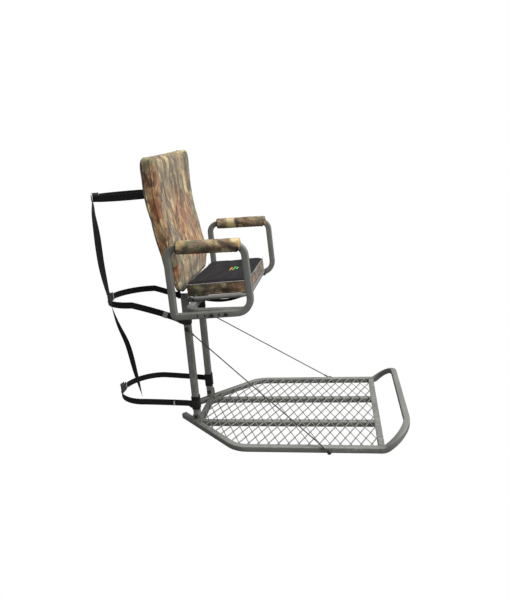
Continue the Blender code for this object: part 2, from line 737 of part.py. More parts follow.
WRAPPED = (("middle", MIDDLE_Z, MIDDLE_POST_Z, 0.030), ("lower", LOWER_Z, LOWER_POST_Z, 0.054))
RUN_STEPS = 5
for name, z_back, z_post, tall in WRAPPED:
    # each half ends in a sleeve sewn round a post; the webbing runs from its outer rear corner
    for side, s in SIDES:
        sleeve = block("sleeve", (POST / 2 - SLEEVE, s * POST_Y - SLEEVE, z_post - tall / 2),
                       (POST / 2 + SLEEVE, s * POST_Y + SLEEVE, z_post + tall / 2))
        sleeve.data.transform(Matrix.Translation(sleeve.location))
        sleeve.location = (0, 0, 0)
        hollow = block("hollow", (-GAP, s * POST_Y - POST / 2 - GAP, z_post - 0.1),
                       (POST + GAP, s * POST_Y + POST / 2 + GAP, z_post + 0.1))
        cut(sleeve, hollow)
        leave, meet, touch = strap_run(s)
        straight_part = [(leave.x + 0.006, leave.y - s * 0.0002, z_post)]
        for k in range(RUN_STEPS):
            straight_part.append(run_point(leave, meet, z_post, z_back, k / RUN_STEPS))
        arc = round_tree(s * touch * 180 / pi, s * (180 - open_deg), z_back, z_back, 14)
        band = ribbon(name + "_strap_" + side, straight_part + arc, WEB_W)
        join(band, sleeve)

# ---- cam buckles behind the tree: a frame with two side walls, and a lever on a cross pin
for name, z in (("upper", UPPER_Z), ("middle", MIDDLE_Z), ("lower", LOWER_Z)):
    back_x = TREE_X - TREE_R
    floor = block(name + "_buckle", (back_x - 0.0022, -0.0230, z - 0.0170),
                  (back_x - 0.0004, 0.0230, z + 0.0170), BOLT)
    for sz in (-1, 1):
        wall = block("wall", (back_x - 0.0150, -0.0110, z + sz * 0.0158 - 0.0012),
                     (back_x - 0.0010, 0.0110, z + sz * 0.0158 + 0.0012))
        join(floor, wall)
    pin_hole = cylinder("hole", (back_x - 0.0100, 0, z), (0, 0, 1), 0.0019, 0.05, None, sides=10)
    cut(floor, pin_hole)
    lever = block(name + "_lever", (back_x - 0.0160, -0.0020, z - 0.0135),
                  (back_x - 0.0128, 0.0300, z + 0.0135), BOLT)
    drum = cylinder("drum", (back_x - 0.0100, 0, z), (0, 0, 1), 0.0048, 0.0270, None, sides=12)
    join(lever, drum)
    axle = cylinder("axle", (back_x - 0.0100, 0, z), (0, 0, 1), 0.0015, 0.0350, None, sides=10)
    join(lever, axle)

# ---- sewn labels on the right-hand run of the middle and lower straps
LABEL_SIZE = (0.026, 0.0010, 0.018)
for (name, z_back, z_post, tall), share in zip(WRAPPED, (0.33, 0.36)):
    leave, meet, touch = strap_run(-1)
    near = run_point(leave, meet, z_post, z_back, 1 / RUN_STEPS)
    far = run_point(leave, meet, z_post, z_back, 2 / RUN_STEPS)
    along = (near - far).normalized()
    out = Vector((along.y, -along.x, 0)).normalized()
    up = out.cross(along)
    middle = near.lerp(far, share * RUN_STEPS - 1) + out * (WEB_T / 2 + GAP + LABEL_SIZE[1] / 2)
    label = block(name + "_strap_label", [-v / 2 for v in LABEL_SIZE], [v / 2 for v in LABEL_SIZE], LABEL)
    turn = Matrix((along, -out, up)).transposed().to_4x4()
    label.data.transform(Matrix.Translation(middle) @ turn)

# ---- loose end of the upper strap, hanging beside the trunk
tail_r = TREE_R + 0.0075
tail = [(TREE_X - tail_r * cos(radians(22)), -tail_r * sin(radians(22)), UPPER_Z),
        (TREE_X - tail_r * cos(radians(38)), -tail_r * sin(radians(38)), UPPER_Z - 0.004),
        (-0.292, -0.112, UPPER_Z - 0.020),
        (-0.290, -0.124, UPPER_Z - 0.055),
        (-0.286, -0.130, 0.760),
        (-0.284, -0.134, 0.640),
        (-0.270, -0.139, 0.520),
        (-0.250, -0.144, 0.425),
        (-0.219, -0.149, 0.335),
        (-0.203, -0.151, 0.225),
        (-0.189, -0.152, 0.130)]


def smooth(points, count):
    """Catmull-Rom curve through the points."""
    pts = [Vector(p) for p in points]
    pts = [2 * pts[0] - pts[1]] + pts + [2 * pts[-1] - pts[-2]]
    out = []
    for i in range(1, len(pts) - 2):
        a, b, c, d = pts[i - 1], pts[i], pts[i + 1], pts[i + 2]
        for k in range(count):
            t = k / count
            out.append(0.5 * (2 * b + (c - a) * t + (2 * a - 5 * b + 4 * c - d) * t * t
                              + (3 * b - a - 3 * c + d) * t ** 3))
    out.append(pts[-2])
    return out


round_bar("strap_tail", smooth(tail, 3), 0.006, WEBBING, resolution=1)

# ================================================================ suspension cables
for side, s in SIDES:
    post_face = s * (POST_Y + POST / 2)
    rail_face = s * PLATFORM_W / 2
    top = Vector((POST / 2, post_face + s * 0.0042, CABLE_POST_Z))
    low = Vector((CABLE_RAIL_X, rail_face + s * 0.0100, -RAIL / 2))
    way = (low - top).normalized()
    barrel = 0.036
    for tag, eye, sense in (("top", top, way), ("rail", low, -way)):
        ring = cylinder("cable_eye_" + tag + "_" + side, eye, (0, 1, 0), 0.0108, 0.0050, FERRULE, sides=16)
        ring.data.transform(Matrix.Translation(ring.location))
        ring.location = (0, 0, 0)
        a = eye + sense * 0.0090
        b = eye + sense * barrel
        sleeve = round_bar("sleeve", [a, b], 0.0064, None, resolution=1)
        join(ring, sleeve)
        hole = cylinder("hole", eye, (0, 1, 0), 0.0044, 0.03, None, sides=12)
        cut(ring, hole)
    first = top + way * (barrel + GAP)
    last = low - way * (barrel + GAP)
    round_bar("cable_" + side, [first, (first + last) / 2, last], CABLE_D, WIRE, resolution=1)
    bolt("cable_bolt_post_" + side, (POST / 2, post_face + s * 0.0072, CABLE_POST_Z), (0, -s, 0),
         0.008, POST + 0.0072 + 0.0065, 0.0150, 0.0050)
    rail_obj = bpy.data.objects["platform_rail_" + side]
    hole = cylinder("hole", (CABLE_RAIL_X, s * half, -RAIL / 2), (0, 1, 0), 0.0044, 0.04, None, sides=12)
    cut(rail_obj, hole)
    # a shouldered bolt: its collar holds the cable's eye clear of the rail
    rail_bolt = bolt("cable_bolt_rail_" + side, (CABLE_RAIL_X, rail_face + s * 0.0130, -RAIL / 2), (0, -s, 0),
                     0.008, RAIL + 0.0130 + 0.0065, 0.0150, 0.0050)
    collar = cylinder("collar", (CABLE_RAIL_X, rail_face + s * (GAP + 0.0034), -RAIL / 2), (0, 1, 0),
                      0.0065, 0.0068, None, sides=12)
    join(rail_bolt, collar)

for obj in list(tools.objects):
    if obj.name.startswith(("profile", "core", "hole")):
        bpy.data.objects.remove(obj, do_unlink=True)
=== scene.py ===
"""Looks of the hang-on tree stand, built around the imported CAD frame.

Metres, in the CAD's own frame: +X forward from the tree, +Y to the sitter's left, +Z up."""
import bpy
import bmesh
import numpy as np
from math import sin, cos, tan, pi, radians, acos, atan2, hypot
from mathutils import Matrix, Vector, noise
from mathutils.bvhtree import BVHTree


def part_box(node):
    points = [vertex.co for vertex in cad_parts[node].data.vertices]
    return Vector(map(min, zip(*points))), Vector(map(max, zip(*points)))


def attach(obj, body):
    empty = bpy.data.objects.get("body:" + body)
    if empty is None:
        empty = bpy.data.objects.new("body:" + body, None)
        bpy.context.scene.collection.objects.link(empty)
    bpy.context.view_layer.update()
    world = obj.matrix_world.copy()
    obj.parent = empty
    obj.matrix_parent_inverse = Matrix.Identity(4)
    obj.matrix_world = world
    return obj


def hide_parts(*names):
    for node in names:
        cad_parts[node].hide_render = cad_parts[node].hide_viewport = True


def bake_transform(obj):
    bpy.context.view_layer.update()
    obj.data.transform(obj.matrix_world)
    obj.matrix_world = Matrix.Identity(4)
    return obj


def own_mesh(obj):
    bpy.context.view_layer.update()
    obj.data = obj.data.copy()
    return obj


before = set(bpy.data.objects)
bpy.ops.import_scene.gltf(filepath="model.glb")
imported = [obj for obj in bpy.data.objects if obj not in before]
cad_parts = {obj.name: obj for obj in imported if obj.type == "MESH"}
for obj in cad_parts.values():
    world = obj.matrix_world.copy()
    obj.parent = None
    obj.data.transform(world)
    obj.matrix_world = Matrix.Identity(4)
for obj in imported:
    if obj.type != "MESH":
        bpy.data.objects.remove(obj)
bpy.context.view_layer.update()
scene = bpy.context.scene
X = Vector((1, 0, 0))
Y = Vector((0, 1, 0))
Z = Vector((0, 0, 1))
SIDES = (("right", -1), ("left", 1))

# ---------------------------------------------------------------- the frame's own sizes
GAP = 0.0003
RAIL = 0.022
WALL = 0.0016
WEB_W = 0.025
WEB_T = 0.0022
WEB_SEEN_T = 0.0018            # the visible webbing, thinner than the CAD band it replaces
CORNER_R = 0.0034              # outer corner of the square tubes
RAIL_TIP = (-0.060, 0.048)     # rear end of a side rail's centre line, for the left rail
RAIL_BEND_X = 0.200            # where the side rails turn inwards
RAIL_HOLE_R = 0.0044
POST_HOLE_R = 0.0042
LOOP_HOLE_R = 0.0036
SEAT_TILT = radians(2.5)


def middle(node):
    low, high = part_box(node)
    return (low + high) / 2


# ================================================================ camera, surround and light
def make_camera():
    data = bpy.data.cameras.new("camera")
    data.sensor_fit = "VERTICAL"
    data.sensor_height = 36
    data.sensor_width = 36
    data.lens = 31.5
    cam = bpy.data.objects.new("camera", data)
    scene.collection.objects.link(cam)
    yaw, pitch, roll = radians(-9.427), radians(14.794), radians(-4.327)
    ahead = Vector((sin(yaw) * cos(pitch), cos(yaw) * cos(pitch), -sin(pitch)))
    right = ahead.cross(Z).normalized()
    up = right.cross(ahead)
    side = right * cos(roll) + up * sin(roll)
    top = up * cos(roll) - right * sin(roll)
    turn = Matrix((side, top, -ahead)).transposed().to_4x4()
    cam.matrix_world = Matrix.Translation((0.5812, -1.9413, 0.9762)) @ turn
    scene.camera = cam


def make_stage():
    """A white surround, light that falls off below the stand, a broad overhead source and a front fill."""
    world = bpy.data.worlds.new("studio")
    scene.world = world
    world.use_nodes = True
    tree = world.node_tree
    tree.nodes.clear()
    out = tree.nodes.new("ShaderNodeOutputWorld")
    blend = tree.nodes.new("ShaderNodeMixShader")
    path = tree.nodes.new("ShaderNodeLightPath")
    room = tree.nodes.new("ShaderNodeBackground")
    backdrop = tree.nodes.new("ShaderNodeBackground")
    backdrop.inputs["Color"].default_value = (1.0, 1.0, 1.0, 1)
    backdrop.inputs["Strength"].default_value = 1.0
    coords = tree.nodes.new("ShaderNodeTexCoord")
    parts = tree.nodes.new("ShaderNodeSeparateXYZ")
    height = tree.nodes.new("ShaderNodeMapRange")
    for key, value in (("From Min", -0.5), ("From Max", 0.7), ("To Min", 0.13), ("To Max", 0.62)):
        height.inputs[key].default_value = value
    for source, target in ((coords.outputs["Generated"], parts.inputs[0]),
                           (parts.outputs["Z"], height.inputs["Value"]),
                           (height.outputs[0], room.inputs["Strength"]),
                           (room.outputs[0], blend.inputs[1]),
                           (backdrop.outputs[0], blend.inputs[2]),
                           (path.outputs["Is Camera Ray"], blend.inputs[0]),
                           (blend.outputs[0], out.inputs["Surface"])):
        tree.links.new(source, target)

    sky = bpy.data.lights.new("overhead", "SUN")
    sky.energy = 2.9
    sky.angle = radians(24)
    lamp = bpy.data.objects.new("overhead", sky)
    lamp.rotation_euler = Vector((-0.34, 0.06, -1.0)).to_track_quat("-Z", "Y").to_euler()
    scene.collection.objects.link(lamp)
    fill = bpy.data.lights.new("front_fill", "AREA")
    fill.shape = "DISK"
    fill.size = 1.8
    fill.energy = 62
    lamp = bpy.data.objects.new("front_fill", fill)
    lamp.location = (3.2, -1.5, 1.7)
    lamp.rotation_euler = (Vector((0.1, 0, 0.6)) - lamp.location).to_track_quat("-Z", "Y").to_euler()
    scene.collection.objects.link(lamp)
    scene.view_settings.view_transform = "Standard"


make_camera()
make_stage()


# ================================================================ paths and sweeps
def fillet(points, radii, steps=10, closed=False):
    """Round the corners of a polyline, each with its own radius."""
    pts = [Vector(p) for p in points]
    n = len(pts)
    out = []
    for i, p in enumerate(pts):
        r = radii[i] if isinstance(radii, (list, tuple)) else radii
        if (i in (0, n - 1) and not closed) or not r:
            out.append(p)
            continue
        a = (pts[i - 1] - p).normalized()
        b = (pts[(i + 1) % n] - p).normalized()
        half = acos(max(-1.0, min(1.0, a.dot(b)))) / 2
        centre = p + (a + b).normalized() * (r / sin(half))
        start = p + a * (r / tan(half)) - centre
        end = p + b * (r / tan(half)) - centre
        sweep_angle = start.angle(end)
        for k in range(steps + 1):
            t = k / steps
            w0 = sin((1 - t) * sweep_angle) / sin(sweep_angle)
            w1 = sin(t * sweep_angle) / sin(sweep_angle)
            out.append(centre + start * w0 + end * w1)
    return out


def smooth(points, count):
    """Catmull-Rom curve through the points."""
    pts = [Vector(p) for p in points]
    pts = [2 * pts[0] - pts[1]] + pts + [2 * pts[-1] - pts[-2]]
    out = []
    for i in range(1, len(pts) - 2):
        a, b, c, d = pts[i - 1], pts[i], pts[i + 1], pts[i + 2]
        for k in range(count):
            t = k / count
            out.append(0.5 * (2 * b + (c - a) * t + (2 * a - 5 * b + 4 * c - d) * t * t
                              + (3 * b - a - 3 * c + d) * t ** 3))
    out.append(pts[-2])
    return out


def resample(path, step, closed=False):
    """The same line with its points evenly spaced, about one step apart."""
    pts = [Vector(p) for p in path]
    if closed:
        pts.append(pts[0])
    marks = [0.0]
    for a, b in zip(pts, pts[1:]):
        marks.append(marks[-1] + (b - a).length)
    count = max(2, round(marks[-1] / step))
    out = []
    seg = 0
    for k in range(count + (0 if closed else 1)):
        s = marks[-1] * k / count
        while seg < len(pts) - 2 and marks[seg + 1] < s:
            seg += 1
        share = (s - marks[seg]) / max(1e-9, marks[seg + 1] - marks[seg])
        out.append(pts[seg].lerp(pts[seg + 1], share))
    return out


def tangents(path, closed=False):
    n = len(path)
    out = []
    for i, p in enumerate(path):
        before = path[i - 1] if (i > 0 or closed) else p
        after = path[(i + 1) % n] if (i < n - 1 or closed) else p
        out.append((after - before).normalized())
    return out


def axes_to(path, ref, closed=False):
    """Cross-section axes whose first one stays as near to ref as the path lets it."""
    out = []
    for t in tangents(path, closed):
        a = (ref - t * ref.dot(t)).normalized()
        out.append((a, t.cross(a)))
    return out


def axes_carried(path, first, twist=None):
    """Axes carried along the path without turning about it, apart from twist(share)."""
    out = []
    way = tangents(path)
    a = (first - way[0] * first.dot(way[0])).normalized()
    for i, t in enumerate(way):
        if i:
            a = (way[i - 1].rotation_difference(t) @ a).normalized()
            a = (a - t * a.dot(t)).normalized()
        spin = Matrix.Rotation(twist(i / (len(way) - 1)) if twist else 0.0, 3, t)
        out.append((spin @ a, t.cross(spin @ a)))
    return out


def rounded_box(wide, high, radius, steps=3):
    """Outline of a rectangle with round corners; wide runs along the first axis."""
    out = []
    for u, v, a0 in ((1, 1, 0), (-1, 1, 90), (-1, -1, 180), (1, -1, 270)):
        for k in range(steps + 1):
            a = radians(a0 + 90 * k / steps)
            out.append((u * (wide / 2 - radius) + radius * cos(a), v * (high / 2 - radius) + radius * sin(a)))
    return out


def circle(radius, sides):
    return [(radius * cos(2 * pi * k / sides), radius * sin(2 * pi * k / sides)) for k in range(sides)]


def loft(bm, path, axes, ring, closed=False, cap=True, uv=False):
    """Sweep a ring along a path. ring is a list, or a function of the point's number."""
    rows = []
    for i, (p, (a, b)) in enumerate(zip(path, axes)):
        shape = ring(i) if callable(ring) else ring
        rows.append([bm.verts.new(p + a * u + b * v) for u, v in shape])
    n = len(rows[0])
    layer = bm.loops.layers.uv.verify() if uv else None
    travel = 0.0
    for i in range(len(rows) - (0 if closed else 1)):
        j = (i + 1) % len(rows)
        step = (Vector(path[j]) - Vector(path[i])).length
        shape = ring(i) if callable(ring) else ring
        for k in range(n):
            m = (k + 1) % n
            face = bm.faces.new((rows[i][k], rows[i][m], rows[j][m], rows[j][k]))
            face.smooth = True
            if layer:
                across = (shape[k][0], shape[m][0])
                spots = ((travel, across[0]), (travel, across[1]), (travel + step, across[1]),
                         (travel + step, across[0]))
                for loop, spot in zip(face.loops, spots):
                    loop[layer].uv = spot
        travel += step
    if cap and not closed:
        bm.faces.new(list(reversed(rows[0])))
        bm.faces.new(rows[-1])
    return rows


def bridge(bm, a, b):
    """Quads between two rings with as many points as each other."""
    n = len(a)
    for k in range(n):
        m = (k + 1) % n
        bm.faces.new((a[k], a[m], b[m], b[k]))


def stack(bm, rows):
    """Join rings one after another and close both ends."""
    for a, b in zip(rows, rows[1:]):
        bridge(bm, a, b)
    bm.faces.new(list(reversed(rows[0])))
    bm.faces.new(rows[-1])


def hollow(bm, path, axes, outer, inner, closed=False):
    """Sweep a tube with a wall: outer and inner rings with as many points as each other."""
    out_rows = loft(bm, path, axes, outer, closed, cap=False)
    in_rows = loft(bm, path, axes, inner, closed, cap=False)
    if not closed:
        for end in (0, -1):
            bridge(bm, out_rows[end], in_rows[end])


def to_mesh(bm, name, sharp=35):
    bmesh.ops.recalc_face_normals(bm, faces=bm.faces)
    mesh = bpy.data.meshes.new(name)
    bm.to_mesh(mesh)
    bm.free()
    mesh.shade_smooth()
    mesh.set_sharp_from_angle(angle=radians(sharp))
    return mesh


def piece(name, mesh, material, body, nodes=(), ride=True):
    """A visible piece that rides on a body and stands for the CAD nodes it covers."""
    obj = bpy.data.objects.new(name, mesh)
    scene.collection.objects.link(obj)
    mesh.materials.append(material)
    if ride:
        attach(obj, body)
    if nodes:
        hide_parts(*nodes)
    return obj


def swept(name, line, ref, ring, sharp, material, body, nodes=(), uv=False):
    """One ring swept along one line, as a piece of its own."""
    bm = bmesh.new()
    loft(bm, line, axes_to(line, ref), ring, uv=uv)
    return piece(name, to_mesh(bm, name, sharp), material, body, nodes)


# ================================================================ materials
def srgb(r, g, b):
    def lin(c):
        c = c / 255
        return c / 12.92 if c <= 0.04045 else ((c + 0.055) / 1.055) ** 2.4
    return (lin(r), lin(g), lin(b), 1.0)


class Shader:
    """A Principled material whose nodes are added one call at a time."""

    def __init__(self, name, rough=0.5, metal=0.0, **extra):
        self.material = bpy.data.materials.new(name)
        self.material.use_nodes = True
        self.tree = self.material.node_tree
        self.bsdf = self.tree.nodes["Principled BSDF"]
        self.bsdf.inputs["Roughness"].default_value = rough
        self.bsdf.inputs["Metallic"].default_value = metal
        for key, value in extra.items():
            self.bsdf.inputs[key.replace("_", " ")].default_value = value
        coords = self.tree.nodes.new("ShaderNodeTexCoord")
        self.place = coords.outputs["Object"]
        self.uv = coords.outputs["UV"]

    def node(self, kind, inputs, **settings):
        made = self.tree.nodes.new(kind)
        for key, value in settings.items():
            setattr(made, key, value)
        for key, value in inputs.items():
            if isinstance(value, bpy.types.NodeSocket):
                self.tree.links.new(value, made.inputs[key])
            else:
                made.inputs[key].default_value = value
        return made

    def math(self, operation, a, b=0.0):
        return self.node("ShaderNodeMath", {0: a, 1: b}, operation=operation).outputs[0]

    def moved(self, scale=(1, 1, 1), shift=(0, 0, 0), source=None, turn=(0, 0, 0)):
        inputs = {"Vector": source or self.place, "Scale": scale, "Location": shift, "Rotation": turn}
        return self.node("ShaderNodeMapping", inputs).outputs[0]

    def noise(self, scale, detail=3.0, rough=0.5, source=None, output="Fac"):
        inputs = {"Vector": source or self.place, "Scale": scale, "Detail": detail, "Roughness": rough}
        return self.node("ShaderNodeTexNoise", inputs).outputs[output]

    def cells(self, scale, source=None, feature="F1", output="Distance", random=1.0):
        inputs = {"Vector": source or self.place, "Scale": scale, "Randomness": random}
        return self.node("ShaderNodeTexVoronoi", inputs, feature=feature).outputs[output]

    def ramp(self, fac, stops, mode="LINEAR"):
        made = self.node("ShaderNodeValToRGB", {"Fac": fac})
        made.color_ramp.interpolation = mode
        points = made.color_ramp.elements
        while len(points) < len(stops):
            points.new(0.5)
        for point, (at, colour) in zip(points, stops):
            point.position = at
            point.color = colour
        return made.outputs["Color"]

    def between(self, value, low, high):
        """0 below low, 1 above high, smooth between."""
        inputs = {"Value": value, "From Min": low, "From Max": high}
        return self.node("ShaderNodeMapRange", inputs, interpolation_type="SMOOTHSTEP").outputs[0]

    def mix(self, fac, a, b, blend="MIX"):
        made = self.node("ShaderNodeMix", {0: fac, 6: a, 7: b}, data_type="RGBA", blend_type=blend)
        return made.outputs[2]

    def colour(self, value):
        if isinstance(value, bpy.types.NodeSocket):
            self.tree.links.new(value, self.bsdf.inputs["Base Color"])
        else:
            self.bsdf.inputs["Base Color"].default_value = value

    def rough(self, fac, low, high):
        made = self.node("ShaderNodeMapRange", {"Value": fac, "To Min": low, "To Max": high})
        self.tree.links.new(made.outputs[0], self.bsdf.inputs["Roughness"])

    def bump(self, height, distance, strength=1.0):
        """Adds one layer of relief on top of those added before it."""
        inputs = {"Height": height, "Distance": distance, "Strength": strength}
        before = self.bsdf.inputs["Normal"]
        if before.is_linked:
            inputs["Normal"] = before.links[0].from_socket
        made = self.node("ShaderNodeBump", inputs)
        self.tree.links.new(made.outputs[0], before)


def powder_coat(name, main, worn, grain=900.0):
    """Fine-textured powder coat: orange peel, faint mottling, dust and rubbed edges."""
    s = Shader(name, rough=0.5, metal=0.0, Specular_IOR_Level=0.5)
    cloud = s.noise(9.0, 4.0, 0.6)
    light = tuple(min(1.0, c * 1.14) for c in main[:3]) + (1.0,)
    dark = tuple(c * 0.86 for c in main[:3]) + (1.0,)
    base = s.ramp(cloud, [(0.30, dark), (0.52, main), (0.74, light)])
    speck = s.between(s.noise(grain, 2.0, 0.6), 0.60, 0.74)
    base = s.mix(s.math("MULTIPLY", speck, 0.30), base, light)
    edge = s.between(s.node("ShaderNodeNewGeometry", {}).outputs["Pointiness"], 0.535, 0.60)
    rubbed = s.math("MULTIPLY", edge, s.between(s.noise(60.0, 4.0, 0.7), 0.50, 0.66))
    base = s.mix(s.math("MULTIPLY", rubbed, 0.55), base, worn)
    scratch = s.between(s.noise(55.0, 6.0, 0.7, source=s.moved((1, 1, 7))), 0.66, 0.72)
    base = s.mix(s.math("MULTIPLY", scratch, 0.22), base, worn)
    s.colour(base)
    s.rough(s.noise(140.0, 3.0, 0.6), 0.40, 0.60)
    s.bump(s.noise(grain, 2.0, 0.55), 0.00012, 0.55)
    s.bump(s.noise(180.0, 2.0, 0.5), 0.00025, 0.25)
    return s.material


def dark_metal(name, main, shine, rough):
    """Zinc-plated or blackened hardware with light wear."""
    s = Shader(name, rough=rough, metal=0.85)
    base = s.ramp(s.noise(70.0, 5.0, 0.65), [(0.35, main), (0.70, shine)])
    edge = s.between(s.node("ShaderNodeNewGeometry", {}).outputs["Pointiness"], 0.53, 0.62)
    s.colour(s.mix(s.math("MULTIPLY", edge, 0.5), base, srgb(150, 148, 142)))
    s.rough(s.noise(220.0, 3.0, 0.6), rough - 0.08, rough + 0.14)
    s.bump(s.noise(700.0, 2.0, 0.6), 0.00008, 0.4)
    return s.material


def moulded(name, main):
    s = Shader(name, rough=0.55)
    lighter = tuple(min(1.0, c * 1.6 + 0.004) for c in main[:3]) + (1.0,)
    s.colour(s.ramp(s.noise(45.0, 4.0, 0.6), [(0.35, main), (0.75, lighter)]))
    s.rough(s.noise(300.0, 2.0, 0.5), 0.45, 0.68)
    s.bump(s.noise(1400.0, 2.0, 0.5), 0.00007, 0.5)
    return s.material


def woven(s, pitch, source, distance, strength=1.0):
    """Plain-weave relief from two crossing sines, in metres."""
    parts = s.node("ShaderNodeSeparateXYZ", {"Vector": source}).outputs
    waves = [s.math("SINE", s.math("MULTIPLY", parts[k], 2 * pi / pitch)) for k in range(3)]
    height = s.math("MULTIPLY", waves[0], waves[1])
    height = s.math("ADD", height, s.math("MULTIPLY", waves[1], waves[2]))
    s.bump(height, distance, strength)


def webbing(name):
    """Black polyester webbing: chevron ribs along its length, with a matt nap."""
    s = Shader(name, rough=0.85, Specular_IOR_Level=0.25, Sheen_Weight=0.06, Sheen_Roughness=0.5)
    parts = s.node("ShaderNodeSeparateXYZ", {"Vector": s.uv}).outputs
    along = s.math("MULTIPLY", parts[0], 2 * pi / 0.0024)
    across = s.math("MULTIPLY", s.math("PINGPONG", parts[1], 0.0032), 2 * pi / 0.0026)
    rib = s.math("SINE", s.math("ADD", along, across))
    cord = s.math("SINE", s.math("MULTIPLY", parts[1], 2 * pi / 0.0016))
    height = s.math("ADD", s.math("MULTIPLY", rib, 0.6), s.math("MULTIPLY", cord, 0.4))
    # the colour is lighter on the ribs and darker in the grooves between them: painted shade in the weave
    shade = s.between(height, -0.9, 0.9)
    base = s.mix(shade, srgb(16, 16, 17), srgb(35, 35, 36))
    dusty = s.between(s.noise(24.0, 5.0, 0.65), 0.50, 0.75)
    s.colour(s.mix(s.math("MULTIPLY", dusty, 0.35), base, srgb(54, 53, 51)))
    s.rough(shade, 0.92, 0.72)
    s.bump(height, 0.00022, 0.8)
    s.bump(s.noise(2600.0, 2.0, 0.6), 0.0001, 0.35)
    return s.material


def plain_cloth(name, main, pitch=0.0011):
    s = Shader(name, rough=0.88, Sheen_Weight=0.15, Sheen_Roughness=0.5)
    lighter = tuple(min(1.0, c * 1.35 + 0.01) for c in main[:3]) + (1.0,)
    s.colour(s.ramp(s.noise(60.0, 5.0, 0.65), [(0.35, main), (0.72, lighter)]))
    woven(s, pitch, s.place, 0.00012, 0.6)
    return s.material


def camo(name, stretch, shift, tone_and_shade, size=1.0, rusty=0.55):
    """Printed woodland cloth: bark streaks, lichen and rust patches, leaves, twigs and pale flecks."""
    s = Shader(name, rough=0.9, Sheen_Weight=0.15, Sheen_Roughness=0.55)
    grain = s.moved(tuple(v * size for v in stretch), shift)
    wander = s.noise(7.0, 4.0, 0.62, source=grain, output="Color")
    bent = s.mix(0.075, grain, wander, "ADD")
    bark = s.noise(30.0, 8.0, 0.68, source=bent)
    base = s.ramp(bark, [(0.30, srgb(50, 40, 34)), (0.41, srgb(96, 82, 70)), (0.50, srgb(138, 122, 100)),
                         (0.58, srgb(164, 146, 110)), (0.68, srgb(226, 208, 158))])
    rust = s.between(s.noise(6.5, 4.0, 0.6, source=bent), 0.50, 0.57)
    base = s.mix(s.math("MULTIPLY", rust, rusty), base, s.ramp(bark, [
        (0.32, srgb(90, 60, 42)), (0.50, srgb(164, 112, 74)), (0.66, srgb(204, 162, 112))]))
    aside = s.moved(source=bent, shift=(3.1, 1.7, 0.4))
    lichen = s.between(s.noise(7.2, 4.0, 0.6, source=aside), 0.53, 0.62)
    base = s.mix(s.math("MULTIPLY", lichen, 0.70), base, s.ramp(bark, [
        (0.32, srgb(54, 66, 50)), (0.50, srgb(98, 112, 84)), (0.66, srgb(158, 164, 126))]))
    # dusky, slightly violet bark between them
    other = s.moved(source=bent, shift=(7.3, 4.9, 2.2))
    dusk = s.between(s.noise(8.0, 4.0, 0.6, source=other), 0.54, 0.63)
    base = s.mix(s.math("MULTIPLY", dusk, 0.62), base, s.ramp(bark, [
        (0.32, srgb(58, 46, 44)), (0.50, srgb(112, 96, 90)), (0.66, srgb(176, 158, 144))]))
    # leaves: two sizes of slim cells, some of them filled, with darker veins
    for count, turn, fill in ((17.0, (0.5, 0.35, 0.6), 0.66), (31.0, (-0.4, 0.2, -0.5), 0.58)):
        slim = s.moved((1.0, 1.0, 0.62), (0.7, 0.2, count), source=bent, turn=turn)
        pick = s.node("ShaderNodeSeparateColor", {"Color": s.cells(count, slim, output="Color")}).outputs
        near = s.cells(count, slim)
        shape = s.math("MULTIPLY", s.between(pick[0], fill, fill + 0.03), s.between(near, 0.44, 0.34))
        leaf = s.ramp(pick[1], [(0.0, srgb(238, 220, 168)), (0.30, srgb(202, 172, 116)),
                                (0.58, srgb(160, 100, 62)), (0.74, srgb(116, 122, 88)),
                                (0.88, srgb(78, 60, 48))], "CONSTANT")
        vein = s.between(s.noise(110.0, 3.0, 0.6, source=slim), 0.44, 0.62)
        leaf = s.mix(s.math("MULTIPLY", vein, 0.50), leaf, srgb(108, 80, 54))
        base = s.mix(s.math("MULTIPLY", shape, 0.78), base, leaf)
    # twigs: broken dark lines along the edges of long cells
    long_cells = s.moved((1.0, 1.0, 0.45), (1.9, 0.3, 0.1), source=bent, turn=(0.2, -0.3, 0.1))
    line = s.cells(7.5, long_cells, feature="DISTANCE_TO_EDGE")
    broken = s.between(s.noise(13.0, 3.0, 0.5, source=aside), 0.44, 0.56)
    twig = s.math("MULTIPLY", s.between(line, 0.034, 0.010), broken)
    base = s.mix(s.math("MULTIPLY", twig, 0.72), base, srgb(50, 40, 34))
    # pale flecks, where light catches the bark's ridges
    fleck = s.between(s.noise(46.0, 5.0, 0.6, source=s.moved((1.0, 1.0, 0.7), source=bent)), 0.60, 0.68)
    base = s.mix(s.math("MULTIPLY", fleck, 0.62), base, srgb(236, 218, 170))
    # the whole print is multiplied by one colour: a warm tint, and for the seat side a darkening that is
    # painted shade
    base = s.mix(1.0, base, tone_and_shade, "MULTIPLY")
    s.colour(base)
    s.rough(bark, 0.95, 0.80)
    woven(s, 0.0012, s.place, 0.00010, 0.5)
    s.bump(s.noise(1500.0, 2.0, 0.6), 0.00012, 0.3)
    return s.material


def air_mesh(name):
    """Black spacer mesh: a hexagonal pattern of small eyelets, their hollows painted darker as shade."""
    s = Shader(name, rough=0.85, Specular_IOR_Level=0.12, Sheen_Weight=0.04, Sheen_Roughness=0.5)
    eye = s.cells(430.0, random=0.25)
    eye_hollow_shade = s.between(eye, 0.42, 0.22)
    # the eyelets' hollows are painted near black: painted shade
    base = s.mix(eye_hollow_shade, srgb(34, 32, 36), srgb(10, 9, 11))
    s.colour(s.mix(s.math("MULTIPLY", s.between(s.noise(18.0, 4.0), 0.5, 0.8), 0.3), base, srgb(52, 49, 54)))
    s.bump(s.math("MULTIPLY", eye_hollow_shade, -1.0), 0.00035, 0.9)
    s.bump(s.noise(2200.0, 2.0, 0.6), 0.0001, 0.3)
    return s.material


def vinyl(name):
    s = Shader(name, rough=0.45)
    s.colour(s.ramp(s.noise(30.0, 4.0, 0.6), [(0.35, srgb(52, 53, 49)), (0.70, srgb(78, 79, 73))]))
    s.bump(s.noise(500.0, 2.0, 0.5), 0.00006, 0.5)
    return s.material


